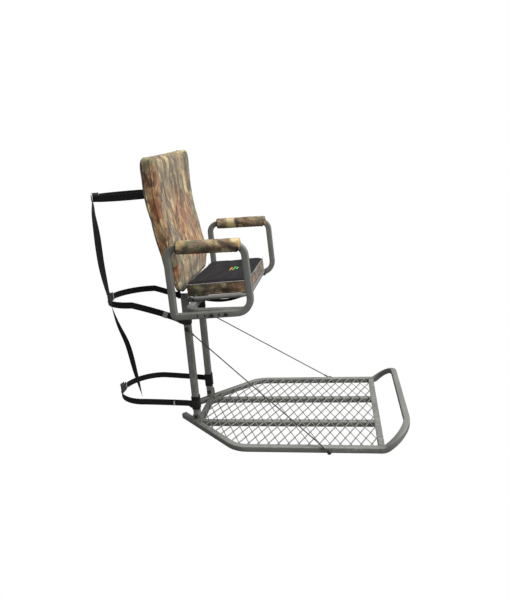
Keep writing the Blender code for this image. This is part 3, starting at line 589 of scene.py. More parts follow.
STEEL = powder_coat("powder_coat_grey", srgb(120, 121, 116), srgb(160, 160, 155))
DECK = powder_coat("powder_coat_deck", srgb(118, 119, 113), srgb(156, 156, 149), 1200.0)
BOLT = dark_metal("black_zinc", srgb(34, 34, 33), srgb(62, 61, 58), 0.42)
BUCKLE = dark_metal("black_coated_steel", srgb(26, 26, 26), srgb(48, 47, 46), 0.50)
FERRULE = dark_metal("crimped_aluminium", srgb(128, 127, 122), srgb(172, 170, 164), 0.40)
CABLE = vinyl("cable_vinyl")
CAP = moulded("moulded_black", srgb(24, 24, 24))
WEBBING = webbing("webbing_black")
LABEL = plain_cloth("label_grey", srgb(158, 158, 156), 0.0007)
THREAD = plain_cloth("thread_grey", srgb(96, 94, 88), 0.0004)
DARK_THREAD = plain_cloth("thread_black", srgb(38, 37, 36), 0.0004)
# black binding cloth, also used as painted shade at the sleeve ends and along the sleeves' undersides
BINDING_AND_SHADE = plain_cloth("binding_black_and_shade", srgb(28, 27, 27), 0.0008)
PIPING = plain_cloth("piping_light", srgb(128, 125, 119), 0.0009)
GREEN = plain_cloth("embroidery_green", srgb(78, 176, 74), 0.0005)
ORANGE = plain_cloth("embroidery_orange", srgb(214, 128, 48), 0.0005)
CAMO_BACK = camo("camo_backrest", (1.0, 1.0, 0.60), (0.31, 0.05, 0.75), (1.0, 0.97, 0.91, 1.0), 1.12, 0.80)
# the seat side's print is darkened all over, well below the backrest's: painted shade
CAMO_SEAT_SHADED = camo("camo_seat_side_shaded", (0.9, 0.8, 1.0), (1.30, 0.77, 0.15), (0.62, 0.56, 0.48, 1.0), 1.0, 0.35)
CAMO_PAD = camo("camo_arm_pad", (0.75, 1.0, 1.0), (0.55, 2.10, 0.80), (0.86, 0.85, 0.83, 1.0), 1.1, 0.22)
AIR_MESH = air_mesh("air_mesh_black")

# ================================================================ the free strap end (a cord)
TREE_X = -0.195
TREE_R = 0.132
UPPER_Z = middle("upper_strap").z
TAIL_R = TREE_R + 0.0075
TAIL = [(TREE_X - TAIL_R * cos(radians(22)), -TAIL_R * sin(radians(22)), UPPER_Z),
        (TREE_X - TAIL_R * cos(radians(38)), -TAIL_R * sin(radians(38)), UPPER_Z - 0.004),
        (-0.292, -0.112, UPPER_Z - 0.020),
        (-0.290, -0.124, UPPER_Z - 0.055),
        (-0.286, -0.130, 0.760),
        (-0.284, -0.134, 0.640),
        (-0.270, -0.139, 0.520),
        (-0.250, -0.144, 0.425),
        (-0.219, -0.149, 0.335),
        (-0.203, -0.151, 0.225),
        (-0.189, -0.152, 0.130)]


def web_ring(width, thick):
    """Section of webbing: flat, with slightly fuller woven edges."""
    t = thick / 2
    w = width / 2
    edge = t * 1.12
    upper = [(w, 0), (w - 0.0003, edge * 0.8), (w - 0.0011, edge), (w - 0.0024, t)]
    half = upper + [(w * 0.33, t), (-w * 0.33, t)] + [(-u, v) for u, v in reversed(upper[1:])] + [(-w, 0)]
    return half + [(u, -v) for u, v in reversed(half[1:-1])]


def make_tail():
    path = resample(smooth(TAIL, 8), 0.006)
    bm = bmesh.new()

    def twist(share):
        return 1.15 * sin(pi * 1.9 * share) * min(1.0, share * 4) + 0.35 * share
    loft(bm, path, axes_carried(path, Z, twist), web_ring(WEB_W, WEB_SEEN_T), uv=True)
    obj = piece("loose_strap_end", to_mesh(bm, "loose_strap_end"), WEBBING, "stand",
                ["strap_tail"])
    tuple(TAIL[0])


make_tail()


# ================================================================ steel tubes
def bake(obj):
    """Apply an object's modifiers to its mesh."""
    bpy.context.view_layer.update()
    made = bpy.data.meshes.new_from_object(obj.evaluated_get(bpy.context.evaluated_depsgraph_get()))
    obj.modifiers.clear()
    obj.data = made


def tube(name, path, body, side=RAIL, ref=Z, closed=False, nodes=(), holes=()):
    """A hollow square tube with rolled corners, and through holes as (centre, axis, radius)."""
    bm = bmesh.new()
    outer = rounded_box(side, side, CORNER_R, 4)
    inner = rounded_box(side - 2 * WALL, side - 2 * WALL, CORNER_R * 0.6, 4)
    hollow(bm, path, axes_to(path, ref, closed), outer, inner, closed)
    obj = piece(name, to_mesh(bm, name, 40), STEEL, body, nodes)
    for centre, axis, r in holes:
        drill(obj, centre, axis, r)
    return obj


def drill(obj, centre, axis, radius):
    """Cut a round hole through a piece and bake the result."""
    bm = bmesh.new()
    bmesh.ops.create_cone(bm, cap_ends=True, segments=24, radius1=radius, radius2=radius, depth=0.06)
    bm.transform(Matrix.Translation(centre) @ Z.rotation_difference(axis).to_matrix().to_4x4())
    mesh = bpy.data.meshes.new("drill")
    bm.to_mesh(mesh)
    bm.free()
    cutter = bpy.data.objects.new("drill", mesh)
    scene.collection.objects.link(cutter)
    mod = obj.modifiers.new("hole", "BOOLEAN")
    mod.operation = "DIFFERENCE"
    mod.solver = "EXACT"
    mod.object = cutter
    bake(obj)
    obj.data.set_sharp_from_angle(angle=radians(40))
    bpy.data.objects.remove(cutter, do_unlink=True)


def bead(name, paths, body, size=0.0022):
    """Weld beads: rippled fillets along short paths."""
    bm = bmesh.new()
    for n, path in enumerate(paths):
        line = resample(path, 0.0009)

        def ring(i, n=n, line=line):
            ends = min(1.0, (min(i, len(line) - 1 - i) + 1) / 3)
            ripple = 1 + 0.16 * sin(i * 2.1) + 0.14 * noise.noise(Vector((i * 0.3, n * 7.0, 0)))
            return circle(size * ends * ripple, 8)
        loft(bm, line, axes_carried(line, Vector((0.3, 0.5, 0.8))), ring)
    piece(name, to_mesh(bm, name, 60), STEEL, body)


def make_platform():
    low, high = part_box("platform_rail_right")
    half = -low.y - RAIL / 2          # centre of the straight side rails
    rail_z = -RAIL / 2
    tip_x, tip_y = RAIL_TIP
    end_x = high.x
    bar_low, bar_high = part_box("platform_crossbar")
    bar_x = (bar_low.x + bar_high.x) / 2
    for side, s in SIDES:
        corners = [(tip_x, s * tip_y, rail_z), (RAIL_BEND_X, s * half, rail_z), (end_x, s * half, rail_z)]
        path = fillet(corners, 0.10, 12)
        bolt = middle("cable_bolt_rail_" + side)
        tube("rail_" + side, path, "platform", nodes=["platform_rail_" + side],
             holes=[(Vector((bolt.x, s * half, bolt.z)), Y, RAIL_HOLE_R)])
    rest_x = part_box("foot_rest")[1].x - RAIL / 2
    rest_z = 0.059
    start = end_x + GAP
    rise = 0.722
    rest = [(start, -half, rail_z), (rise, -half, rail_z), (rest_x, -half, rest_z),
            (rest_x, half, rest_z), (rise, half, rail_z), (start, half, rail_z)]
    tube("foot_rest_loop", fillet(rest, [0, 0.035, 0.090, 0.090, 0.035, 0], 14), "platform",
         nodes=["foot_rest"])
    inner_low, inner_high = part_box("inner_tube")
    inner_y = inner_high.y - RAIL / 2
    inner_z = (inner_low.z + inner_high.z) / 2
    rear = inner_low.x + RAIL / 2
    front = inner_high.x
    tube("inner_u_tube", fillet([(front, -inner_y, inner_z), (rear, -inner_y, inner_z),
                                 (rear, inner_y, inner_z), (front, inner_y, inner_z)], 0.034, 12),
         "platform", nodes=["inner_tube"])
    bar_half = bar_high.y
    tube("crossbar", [Vector((bar_x, -bar_half, rail_z)), Vector((bar_x, bar_half, rail_z))],
         "platform", nodes=["platform_crossbar"])
    # welds where the crossbar meets the rails, the inner bars meet the crossbar and the loop meets the rails
    welds = []
    for side, s in SIDES:
        y = s * (bar_half + GAP)
        for x in (bar_low.x, bar_high.x):
            welds.append([Vector((x, y, 0.0002)), Vector((x, y, -RAIL))])
        welds.append([Vector((bar_low.x + 0.001, y, 0)), Vector((bar_high.x - 0.001, y, 0))])
        for dy in (-RAIL / 2, RAIL / 2):
            welds.append([Vector((front, s * inner_y + dy, inner_high.z)),
                          Vector((front, s * inner_y + dy, inner_low.z))])
    bead("platform_welds", welds, "platform")
    seams = []
    for side, s in SIDES:
        x = end_x + GAP / 2
        ring = [Vector((x, s * half + u, rail_z + v)) for u, v in rounded_box(RAIL, RAIL, CORNER_R, 4)]
        seams.append(ring + [ring[0]])
    bead("rail_joint_welds", seams, "platform", 0.0012)


# ---- expanded metal deck: staggered zigzag strands that meet at flat bonds
MESH_SWD = 0.0362
MESH_LWD = 0.0784
STRAND = 0.0042
STRAND_T = 0.0019


def make_deck():
    low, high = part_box("deck_mesh")
    rail_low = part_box("platform_rail_right")[0]
    straight = -rail_low.y - RAIL
    tip = Vector(RAIL_TIP)
    corner = Vector((RAIL_BEND_X, -rail_low.y - RAIL / 2))
    way = (corner - tip).normalized()

    def half_at(x):
        slanted = tip.y + (x - tip.x) * way.y / way.x - RAIL / 2 / way.x
        return min(slanted, straight)

    z = (low.z + high.z) / 2
    bond = 0.0085
    front = high.x - 0.0020
    count = int((high.x - low.x) / (MESH_SWD / 2))
    section = rounded_box(STRAND, STRAND_T, 0.0005, 1)
    tilt = radians(34)
    bm = bmesh.new()
    for i in range(-1, count):
        lead = front - MESH_SWD / 2 * i        # the strand's forward bonds
        trail = lead - MESH_SWD / 2            # and its rearward ones
        if trail < low.x + 0.002:
            break
        corners = []
        for j in range(-9, 10):
            y = j * MESH_LWD / 2
            forward = (j + i) % 2 == 0
            x = lead - STRAND * 0.42 if forward else trail + STRAND * 0.42
            corners += [Vector((x, y - bond / 2, z)), Vector((x, y + bond / 2, z))]
        line = resample(corners, 0.0012)
        kept = [p for p in line if abs(p.y) < half_at(p.x) + 0.0008 and p.x < high.x + 0.001]
        if len(kept) < 6:
            continue
        path = resample(kept, 0.0042)
        axes = []
        for t in tangents(path):
            flat = Z.cross(t).normalized()
            lean = Matrix.Rotation(tilt, 3, t)
            axes.append((lean @ flat, lean @ Z))
        loft(bm, path, axes, section)
    piece("expanded_metal_deck", to_mesh(bm, "expanded_metal_deck", 50), DECK, "platform",
          ["deck_mesh"])


# ---- posts, seat support and arm loops
POST = 0.0254


def make_uprights():
    for side, s in SIDES:
        low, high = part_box("post_" + side)
        c = (low + high) / 2
        cable_z = middle("cable_bolt_post_" + side).z
        hinge = middle("hinge_bolt_" + side)
        path = [Vector((c.x, c.y, z)) for z in (low.z, (low.z + high.z) / 2, high.z)]
        tube("upright_" + side, path, "stand", side=POST, ref=X, nodes=["post_" + side],
             holes=[(Vector((c.x, c.y, cable_z)), Y, POST_HOLE_R),
                    (Vector((hinge.x, c.y, hinge.z)), Y, POST_HOLE_R)])
    low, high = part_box("seat_support")
    end = high.x
    rear = low.x + RAIL / 2
    y = high.y - RAIL / 2
    z = (low.z + high.z) / 2
    holes = []
    for side, s in SIDES:
        for tag in ("rear", "front"):
            b = middle("arm_bolt_" + tag + "_" + side)
            holes.append((Vector((b.x, s * y, b.z)), Y, LOOP_HOLE_R))
    tube("seat_support_tube", fillet([(end, -y, z), (rear, -y, z), (rear, y, z), (end, y, z)], 0.045, 14),
         "stand", nodes=["seat_support"], holes=holes)
    welds = []
    for side, s in SIDES:
        low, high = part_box("support_bracket_" + side)
        for yy in (low.y, high.y):
            welds.append([Vector((low.x, yy, low.z + 0.001)), Vector((low.x, yy, high.z - 0.001))])
            welds.append([Vector((high.x, yy, low.z + 0.003)), Vector((high.x, yy, high.z - 0.001))])
        welds.append([Vector((low.x, low.y, high.z)), Vector((low.x, high.y, high.z))])
    bead("support_welds", welds, "stand")


LOOP = [(0.0340, 0.4910), (0.2985, 0.5020), (0.2880, 0.7240), (0.0310, 0.7240)]
LOOP_R = [0.012, 0.048, 0.036, 0.036]
HOLE_PITCH = 0.0245
HOLE_FIRST = 0.1160
LOOP_STEPS = 12


def loop_line(side_y):
    flat = fillet([(x, z, 0) for x, z in LOOP], LOOP_R, LOOP_STEPS, True)
    return [Vector((p.x, side_y, p.y)) for p in flat]


def bar_z(x):
    (x0, z0), (x1, z1) = LOOP[0], LOOP[1]
    return z0 + (z1 - z0) * (x - x0) / (x1 - x0)


def make_arm_loops():
    for side, s in SIDES:
        y = middle("arm_loop_" + side).y
        holes = []
        for k in range(5):
            x = HOLE_FIRST + HOLE_PITCH * k
            holes.append((Vector((x, y, bar_z(x))), Y, LOOP_HOLE_R))
        tube("arm_loop_tube_" + side, loop_line(y), "stand", ref=Y, closed=True,
             nodes=["arm_loop_" + side], holes=holes)
        # the mitred rear corner is welded
        x, z = LOOP[0]
        h = RAIL / 2 + 0.0002
        corner = [(x - h, z - h), (x + h, z + h)]
        welds = []
        for dy in (-h, h):
            welds.append([Vector((corner[0][0] + 0.004, y + dy, corner[0][1] + 0.004)),
                          Vector((corner[1][0], y + dy, corner[1][1]))])
        bead("arm_loop_weld_" + side, welds, "stand", 0.0011)


# ---- seat frame tube, in the seat's own tilted axes
PIVOT = Vector((0.073, 0, 0.5225))
SEAT = Matrix.Translation(PIVOT) @ Matrix.Rotation(-SEAT_TILT, 4, "Y")
SEAT_TUBE = 0.016
SEAT_HALF = 0.200
SEAT_FRONT = 0.200


def make_seat_frame():
    path = fillet([(-0.0055, -SEAT_HALF, 0), (SEAT_FRONT, -SEAT_HALF, 0), (SEAT_FRONT, SEAT_HALF, 0),
                   (-0.0055, SEAT_HALF, 0)], 0.035, 14)
    path = [SEAT @ p for p in path]
    bm = bmesh.new()
    up = SEAT.to_3x3() @ Z
    hollow(bm, path, axes_to(path, up), circle(SEAT_TUBE / 2, 24), circle(SEAT_TUBE / 2 - WALL, 24))
    obj = piece("seat_frame_tube", to_mesh(bm, "seat_frame_tube", 40), STEEL, "seat",
                ["seat_frame"])
    for side, s in SIDES:
        drill(obj, SEAT @ Vector((0, s * SEAT_HALF, 0)), Y, 0.0032)


make_platform()
make_deck()
make_uprights()
make_arm_loops()
make_seat_frame()


# ================================================================ bolts and nuts
def turned(bm, profile, centre, axis, sides=24):
    """A turned shape from (distance along the axis, radius) pairs."""
    turn = Z.rotation_difference(axis).to_matrix()
    rows = []
    for along, r in profile:
        rows.append([bm.verts.new(centre + turn @ Vector((r * cos(2 * pi * k / sides),
                                                          r * sin(2 * pi * k / sides), along)))
                     for k in range(sides)])
    stack(bm, rows)


def hexagon(bm, centre, axis, across, thick, turn_by=0.0):
    """A hexagon head with its corners chamfered on the outer side."""
    spin = Z.rotation_difference(axis).to_matrix()
    sides = 6
    sub = 4
    r = across / 2
    rows = []
    for along, limit in ((0, 1.02), (0.12 * thick, 1.2), (0.72 * thick, 1.2), (thick, 0.90)):
        row = []
        for k in range(sides * sub):
            a = 2 * pi * k / (sides * sub)
            off_flat = (a % (2 * pi / sides)) - pi / sides
            reach = min(r / cos(off_flat), r * limit)
            local = Vector((reach * cos(a + turn_by), reach * sin(a + turn_by), along))
            row.append(bm.verts.new(centre + spin @ local))
        rows.append(row)
    stack(bm, rows)


def make_bolt(node, body, shank, across, head):
    """Washer-faced hexagon bolt with threads and a lock nut, along Y, on the CAD bolt's own line."""
    low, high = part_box(node)
    c = (low + high) / 2
    s = 1 if c.y > 0 else -1
    start = high.y if s > 0 else low.y           # the outer face of the head
    end = low.y if s > 0 else high.y
    inward = Y * -s
    bm = bmesh.new()
    face = Vector((c.x, start, c.z)) + inward * head
    turn_by = 0.2 + 1.7 * c.x
    hexagon(bm, face, -inward, across, head, turn_by)
    turned(bm, [(0, across * 0.56), (0.0009, across * 0.58), (0.0011, across * 0.54)], face - inward * 0.0011,
           inward)
    tip = abs(end - face.y)
    nut_at = tip - head
    profile = [(-0.001, shank / 2), (tip - 0.012, shank / 2)]
    n = 10
    for k in range(n):
        along = tip - 0.012 + 0.012 * k / n
        profile += [(along + 0.0003, shank / 2 * 0.90), (along + 0.0008, shank / 2)]
    profile.append((tip, shank / 2 * 0.86))
    turned(bm, profile, face, inward, 20)
    piece(node + "_detail", to_mesh(bm, node + "_detail", 30), BOLT, body, [node])
    bm = bmesh.new()
    nut = face + inward * (nut_at - 0.0004)
    hexagon(bm, nut, inward, across, head * 0.9, turn_by + 0.35)
    turned(bm, [(0, across * 0.56), (0.0009, across * 0.56)], nut - inward * 0.0008, inward)
    piece(node + "_nut", to_mesh(bm, node + "_nut", 30), BOLT, body)


for side, s in SIDES:
    make_bolt("hinge_bolt_" + side, "platform", 0.008, 0.0130, 0.0055)
    make_bolt("arm_bolt_rear_" + side, "stand", 0.0066, 0.0110, 0.005)
    make_bolt("arm_bolt_front_" + side, "stand", 0.0066, 0.0110, 0.005)
    make_bolt("cable_bolt_post_" + side, "stand", 0.008, 0.0130, 0.005)
    make_bolt("cable_bolt_rail_" + side, "platform", 0.008, 0.0130, 0.005)
    make_bolt("seat_bolt_" + side, "seat", 0.0062, 0.0095, 0.0040)


# ================================================================ suspension cables
CABLE_D = 0.0045


def make_cables():
    for side, s in SIDES:
        top_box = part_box("cable_eye_top_" + side)
        low_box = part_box("cable_eye_rail_" + side)
        top_bolt = middle("cable_bolt_post_" + side)
        low_bolt = middle("cable_bolt_rail_" + side)
        y_top = top_box[0].y + 0.0025 if s > 0 else top_box[1].y - 0.0025
        y_low = low_box[1].y - 0.0025 if s > 0 else low_box[0].y + 0.0025
        top = Vector((top_bolt.x, y_top, top_bolt.z))
        low = Vector((low_bolt.x, y_low, low_bolt.z))
        way = (low - top).normalized()
        ferrule = 0.020
        start = 0.0165
        for tag, eye, sense, body in (("top", top, way, "stand"), ("rail", low, -way, "platform")):
            node = "cable_eye_" + tag + "_" + side
            across = sense.cross(Y).normalized()
            line = []
            r = 0.0070
            for k in range(25):
                a = radians(115) - radians(230) * k / 24
                line.append(eye - sense * r * cos(a) + across * r * sin(a))
            neck = eye + sense * (start + 0.001)
            flat = 0.0019
            line = [neck + across * flat] + line + [neck - across * flat]
            line = resample(smooth(line, 3), 0.0010)
            swept(node + "_loop", line, Y, circle(0.0017, 10), 60, CABLE, body, [node])
            # the crimped sleeve: an oval barrel with three pressed bands
            line = resample([eye + sense * start, eye + sense * (start + ferrule)], 0.0005)

            def ring(i, count=len(line)):
                share = i / (count - 1)
                press = 1 - 0.14 * max(0.0, cos(2 * pi * (share * 3.5 - 0.25))) ** 3
                lip = 1 - 0.25 * max(0.0, 1 - min(share, 1 - share) / 0.04)
                return [(0.0024 * press * lip * cos(2 * pi * k / 20), 0.0040 * lip * sin(2 * pi * k / 20))
                        for k in range(20)]
            swept(node + "_ferrule", line, Y, ring, 40, FERRULE, body)
        a = top + way * (start + ferrule - 0.004)
        b = low - way * (start + ferrule - 0.004)
        line = resample([a, b], 0.0020)
        pitch = 0.030

        def strand(i):
            turn = 2 * pi * i * 0.0020 / pitch
            out = []
            for k in range(18):
                angle = 2 * pi * k / 18
                r = CABLE_D / 2 * (0.94 + 0.06 * cos(6 * (angle - turn)))
                out.append((r * cos(angle), r * sin(angle)))
            return out
        bm = bmesh.new()
        loft(bm, line, axes_to(line, Z), strand)
        cable = piece("suspension_cable_" + side, to_mesh(bm, "suspension_cable_" + side, 60), CABLE, "stand",
                      ["cable_" + side], ride=False)
        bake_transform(cable)


make_cables()


# ================================================================ webbing straps
def stitch_rows(name, rows, material, body, pitch=0.0036, long=0.0024, thick=0.0007):
    """Rows of sewn stitches, each row a path of points lying on the cloth."""
    bm = bmesh.new()
    for row in rows:
        line = resample(row, pitch)
        for a, b in zip(line, line[1:]):
            way = (b - a).normalized()
            m = (a + b) / 2
            pts = [m - way * long / 2, m - way * long * 0.3, m + way * long * 0.3, m + way * long / 2]
            sizes = (0.45, 1.0, 1.0, 0.45)
            loft(bm, pts, axes_carried(pts, Vector((0.31, 0.52, 0.79))),
                 lambda i, sizes=sizes: circle(thick / 2 * sizes[i], 6))
    return piece(name, to_mesh(bm, name, 60), material, body)


def box_x(corner, along, up, wide, high):
    """The four sides and two diagonals of a sewn box-and-cross."""
    a = corner
    b = a + along * wide
    c = b + up * high
    d = a + up * high
    return [[a, b, c, d, a], [a, c], [b, d]]


BUCKLE_HALF = 0.024 / TREE_R
MIDDLE_Z = middle("middle_buckle").z
LOWER_Z = middle("lower_buckle").z


BAND_R = TREE_R + WEB_T / 2 + 0.0005


def trunk_arc(a0, a1, z, count):
    """Points round the trunk from angle a0 to a1, in radians."""
    out = []
    for k in range(count + 1):
        a = a0 + (a1 - a0) * k / count
        out.append(Vector((TREE_X + BAND_R * cos(a), BAND_R * sin(a), z)))
    return out


def make_straps():
    open_angle = pi - BUCKLE_HALF
    line = resample(trunk_arc(-open_angle, open_angle, UPPER_Z, 120), 0.004)
    swept("upper_band", line, Z, web_ring(WEB_W, WEB_SEEN_T), 60, WEBBING, "stand",
          ["upper_strap"], uv=True)
    sleeve = POST / 2 + GAP + WEB_T
    for name, z_back, tall in (("middle", MIDDLE_Z, 0.030), ("lower", LOWER_Z, 0.054)):
        sewn = []
        for side, s in SIDES:
            post = middle("post_" + side)
            low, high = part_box(name + "_strap_" + side)
            z_post = low.z + tall / 2
            leave = Vector((post.x - sleeve, s * (abs(post.y) + sleeve - WEB_T / 2)))
            reach = leave.x - TREE_X
            touch = atan2(abs(leave.y), reach) + acos(BAND_R / hypot(reach, leave.y))
            meet = Vector((TREE_X + BAND_R * cos(touch), s * BAND_R * sin(touch)))
            run = [Vector((leave.x + 0.006, leave.y, z_post))]
            for k in range(12):
                t = k / 12
                flat = leave.lerp(meet, t)
                run.append(Vector((flat.x, flat.y, z_post + (z_back - z_post) * t ** 0.8)))
            run += trunk_arc(s * touch, s * open_angle, z_back, 40)
            # the webbing is wrapped round the post and sewn: one turn, or two beside each other
            wraps = 1 if tall < 0.04 else 2
            wide = tall / wraps - 0.0004
            half = POST / 2 + GAP + WEB_T / 2 + 0.0001
            bm = bmesh.new()
            line = resample(run, 0.004)
            loft(bm, line, axes_to(line, Z), web_ring(WEB_W, WEB_SEEN_T), uv=True)
            for n in range(wraps):
                z = z_post + (n - (wraps - 1) / 2) * (tall / wraps)
                square = [(post.x - half, post.y - half, z), (post.x + half, post.y - half, z),
                          (post.x + half, post.y + half, z), (post.x - half, post.y + half, z)]
                ring = fillet(square, CORNER_R, 5, True)
                loft(bm, ring, axes_to(ring, Z, True), web_ring(wide, 0.0021), True, uv=True)
            piece(name + "_band_" + side, to_mesh(bm, name + "_band_" + side, 60), WEBBING, "stand",
                  [name + "_strap_" + side])
            face = s * (half + 0.0013)
            corner = Vector((post.x - 0.0095, post.y + face, z_post - 0.0085))
            sewn += box_x(corner, X, Z, 0.019, 0.017)
            back = Vector((post.x + half + 0.0013, post.y - 0.009, z_post - 0.0085))
            sewn += box_x(back, Y, Z, 0.018, 0.017)
        stitch_rows(name + "_strap_stitches", sewn, THREAD, "stand", 0.0030, 0.0022, 0.0006)


def make_labels():
    """Plain woven patches with a stitched border, on the CAD patches' own places."""
    for name in ("middle", "lower"):
        node = name + "_strap_label"
        verts = [v.co.copy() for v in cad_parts[node].data.vertices]
        c = sum(verts, Vector()) / len(verts)
        outer = sorted(verts, key=lambda p: p.y)[:len(verts) // 2]
        rear = min(outer, key=lambda p: p.x - p.z * 0.2)
        front = max(outer, key=lambda p: p.x - p.z * 0.2)
        slope = 0.0
        tops = sorted(outer, key=lambda p: p.z, reverse=True)
        flat = tops[:len(tops) // 2]
        if len(flat) > 1:
            a = min(flat, key=lambda p: p.x)
            b = max(flat, key=lambda p: p.x)
            slope = (b.z - a.z) / max(1e-6, b.x - a.x)
        lean = (front.y - rear.y) / max(1e-6, front.x - rear.x)
        along = Vector((1, lean, slope)).normalized()
        out = Vector((along.y, -along.x, 0)).normalized()
        up = out.cross(along)
        wide, high, thick = 0.026, 0.018, 0.0010
        bm = bmesh.new()
        cols, rows = 14, 10
        grid = []
        for i in range(cols + 1):
            for j in range(rows + 1):
                u = wide * (i / cols - 0.5)
                v = high * (j / rows - 0.5)
                edge = min(wide / 2 - abs(u), high / 2 - abs(v))
                puff = thick * (0.45 + 0.55 * min(1.0, edge / 0.0016)) + 0.00012 * sin(u * 900) * sin(v * 700)
                grid.append(bm.verts.new(c + along * u + up * v + out * (puff - thick / 2)))
        for i in range(cols):
            for j in range(rows):
                k = i * (rows + 1) + j
                bm.faces.new((grid[k], grid[k + rows + 1], grid[k + rows + 2], grid[k + 1]))
        rim = [e for e in bm.edges if e.is_boundary]
        made = bmesh.ops.extrude_edge_only(bm, edges=rim)
        lower = [g for g in made["geom"] if isinstance(g, bmesh.types.BMVert)]
        bmesh.ops.translate(bm, vec=-out * thick, verts=lower)
        bmesh.ops.holes_fill(bm, edges=[e for e in bm.edges if e.is_boundary], sides=0)
        piece(name + "_patch", to_mesh(bm, name + "_patch", 50), LABEL, "stand", [node])
        inset = 0.0018
        a = c + out * thick * 0.62 - along * (wide / 2 - inset) - up * (high / 2 - inset)
        b = a + along * (wide - 2 * inset)
        d = a + up * (high - 2 * inset)
        stitch_rows(name + "_patch_stitches", [[a, b, b + up * (high - 2 * inset), d, a]], THREAD, "stand",
                    0.0020, 0.0014, 0.0005)


make_straps()
make_labels()


# ================================================================ padded pieces
def prism(outline, z0, z1, inset=0.0):
    """A closed plan outline, shrunk by inset, raised from z0 to z1."""
    c = sum((Vector((p[0], p[1], 0)) for p in outline), Vector()) / len(outline)
    pts = []
    n = len(outline)
    for i, p in enumerate(outline):
        a = Vector(outline[i - 1][:2])
        b = Vector(outline[(i + 1) % n][:2])
        way = (b - a).normalized()
        normal = Vector((-way.y, way.x))
        if normal.dot(Vector((c.x, c.y)) - Vector(p[:2])) < 0:
            normal = -normal
        pts.append(Vector(p[:2]) + normal * inset)
    bm = bmesh.new()
    low = [bm.verts.new((p.x, p.y, z0)) for p in pts]
    high = [bm.verts.new((p.x, p.y, z1)) for p in pts]
    bm.faces.new(list(reversed(low)))
    bm.faces.new(high)
    bridge(bm, low, high)
    return bm


CLOTH_FRAMES = 20


def stuffed(name, bm, voxel, cap, pressure, shape):
    """Fill a closed cloth shape: remesh it, inflate it by cloth simulation, and bake the result."""
    bmesh.ops.recalc_face_normals(bm, faces=bm.faces)
    mesh = bpy.data.meshes.new(name)
    bm.to_mesh(mesh)
    bm.free()
    obj = bpy.data.objects.new(name, mesh)
    scene.collection.objects.link(obj)
    remesh = obj.modifiers.new("remesh", "REMESH")
    remesh.mode = "VOXEL"
    remesh.voxel_size = voxel
    bake(obj)
    start = np.array([v.co for v in obj.data.vertices])
    cloth = obj.modifiers.new("cloth", "CLOTH")
    for key, value in (("quality", 6), ("mass", 0.25), ("tension_stiffness", 24),
                       ("compression_stiffness", 24), ("shear_stiffness", 12), ("bending_stiffness", 1.2),
                       ("air_damping", 3), ("use_pressure", True), ("uniform_pressure_force", pressure)):
        setattr(cloth.settings, key, value)
    cloth.settings.effector_weights.gravity = 0
    cloth.collision_settings.use_collision = False
    cloth.point_cache.frame_start = 1
    cloth.point_cache.frame_end = CLOTH_FRAMES
    for f in range(1, CLOTH_FRAMES + 1):
        scene.frame_set(f)
    bake(obj)
    scene.frame_set(1)
    moved = np.array([v.co for v in obj.data.vertices]) - start
    far = np.linalg.norm(moved, axis=1)
    moved *= np.minimum(1.0, cap / np.maximum(far, 1e-9))[:, None]
    final = start + moved
    for v, co in zip(obj.data.vertices, final):
        v.co = shape(Vector(co))
    relax = obj.modifiers.new("relax", "SMOOTH")
    relax.factor = 0.5
    relax.iterations = 2
    fine = obj.modifiers.new("fine", "SUBSURF")
    fine.levels = 1
    fine.render_levels = 1
    bake(obj)
    obj.data.shade_smooth()
    return obj


def welt(name, path, radius, material, body, ref):
    """Corded piping along a closed seam line."""
    line = resample(path, 0.003, True)
    bm = bmesh.new()

    def ring(i):
        wave = 1 + 0.05 * sin(i * 1.3) + 0.05 * noise.noise(Vector((i * 0.21, 3.0, 0)))
        return circle(radius * wave, 8)
    loft(bm, line, axes_to(line, ref, True), ring, True)
    return piece(name, to_mesh(bm, name, 60), material, body)


def surface_of(obj):
    mesh = obj.data
    return BVHTree.FromPolygons([v.co.copy() for v in mesh.vertices],
                                [tuple(f.vertices) for f in mesh.polygons])


def around(tree, plan, centre, z):
    """The line where a padded piece's side lies, all round its plan at one height."""
    line = []
    for p in resample(plan, 0.004, True):
        out = Vector((p.x - centre[0], p.y - centre[1], 0)).normalized()
        hit = tree.ray_cast(Vector((p.x, p.y, z)) + out * 0.03, -out, 0.08)
        line.append(hit[0] if hit[0] else Vector((p.x, p.y, z)))
    return line


def inside_edge(tree, plan, centre, inset, top, reach, flat_z):
    """The line a fixed way in from the plan's edge, laid just above the padded face."""
    line = []
    for p in resample(plan, 0.004, True):
        away = Vector((p.x - centre[0], p.y - centre[1], 0))
        q = Vector((centre[0], centre[1], 0)) + away * (1 - inset / away.length)
        hit = tree.ray_cast(Vector((q.x, q.y, top)), -Z, reach)
        line.append(hit[0] + Z * 0.0002 if hit[0] else Vector((q.x, q.y, flat_z)))
    return line


SEAT_W = 0.424
SEAT_D = 0.246
SEAT_T = 0.052
SEAT_REAR = -0.033
SEAT_MID = SEAT_REAR + SEAT_D / 2


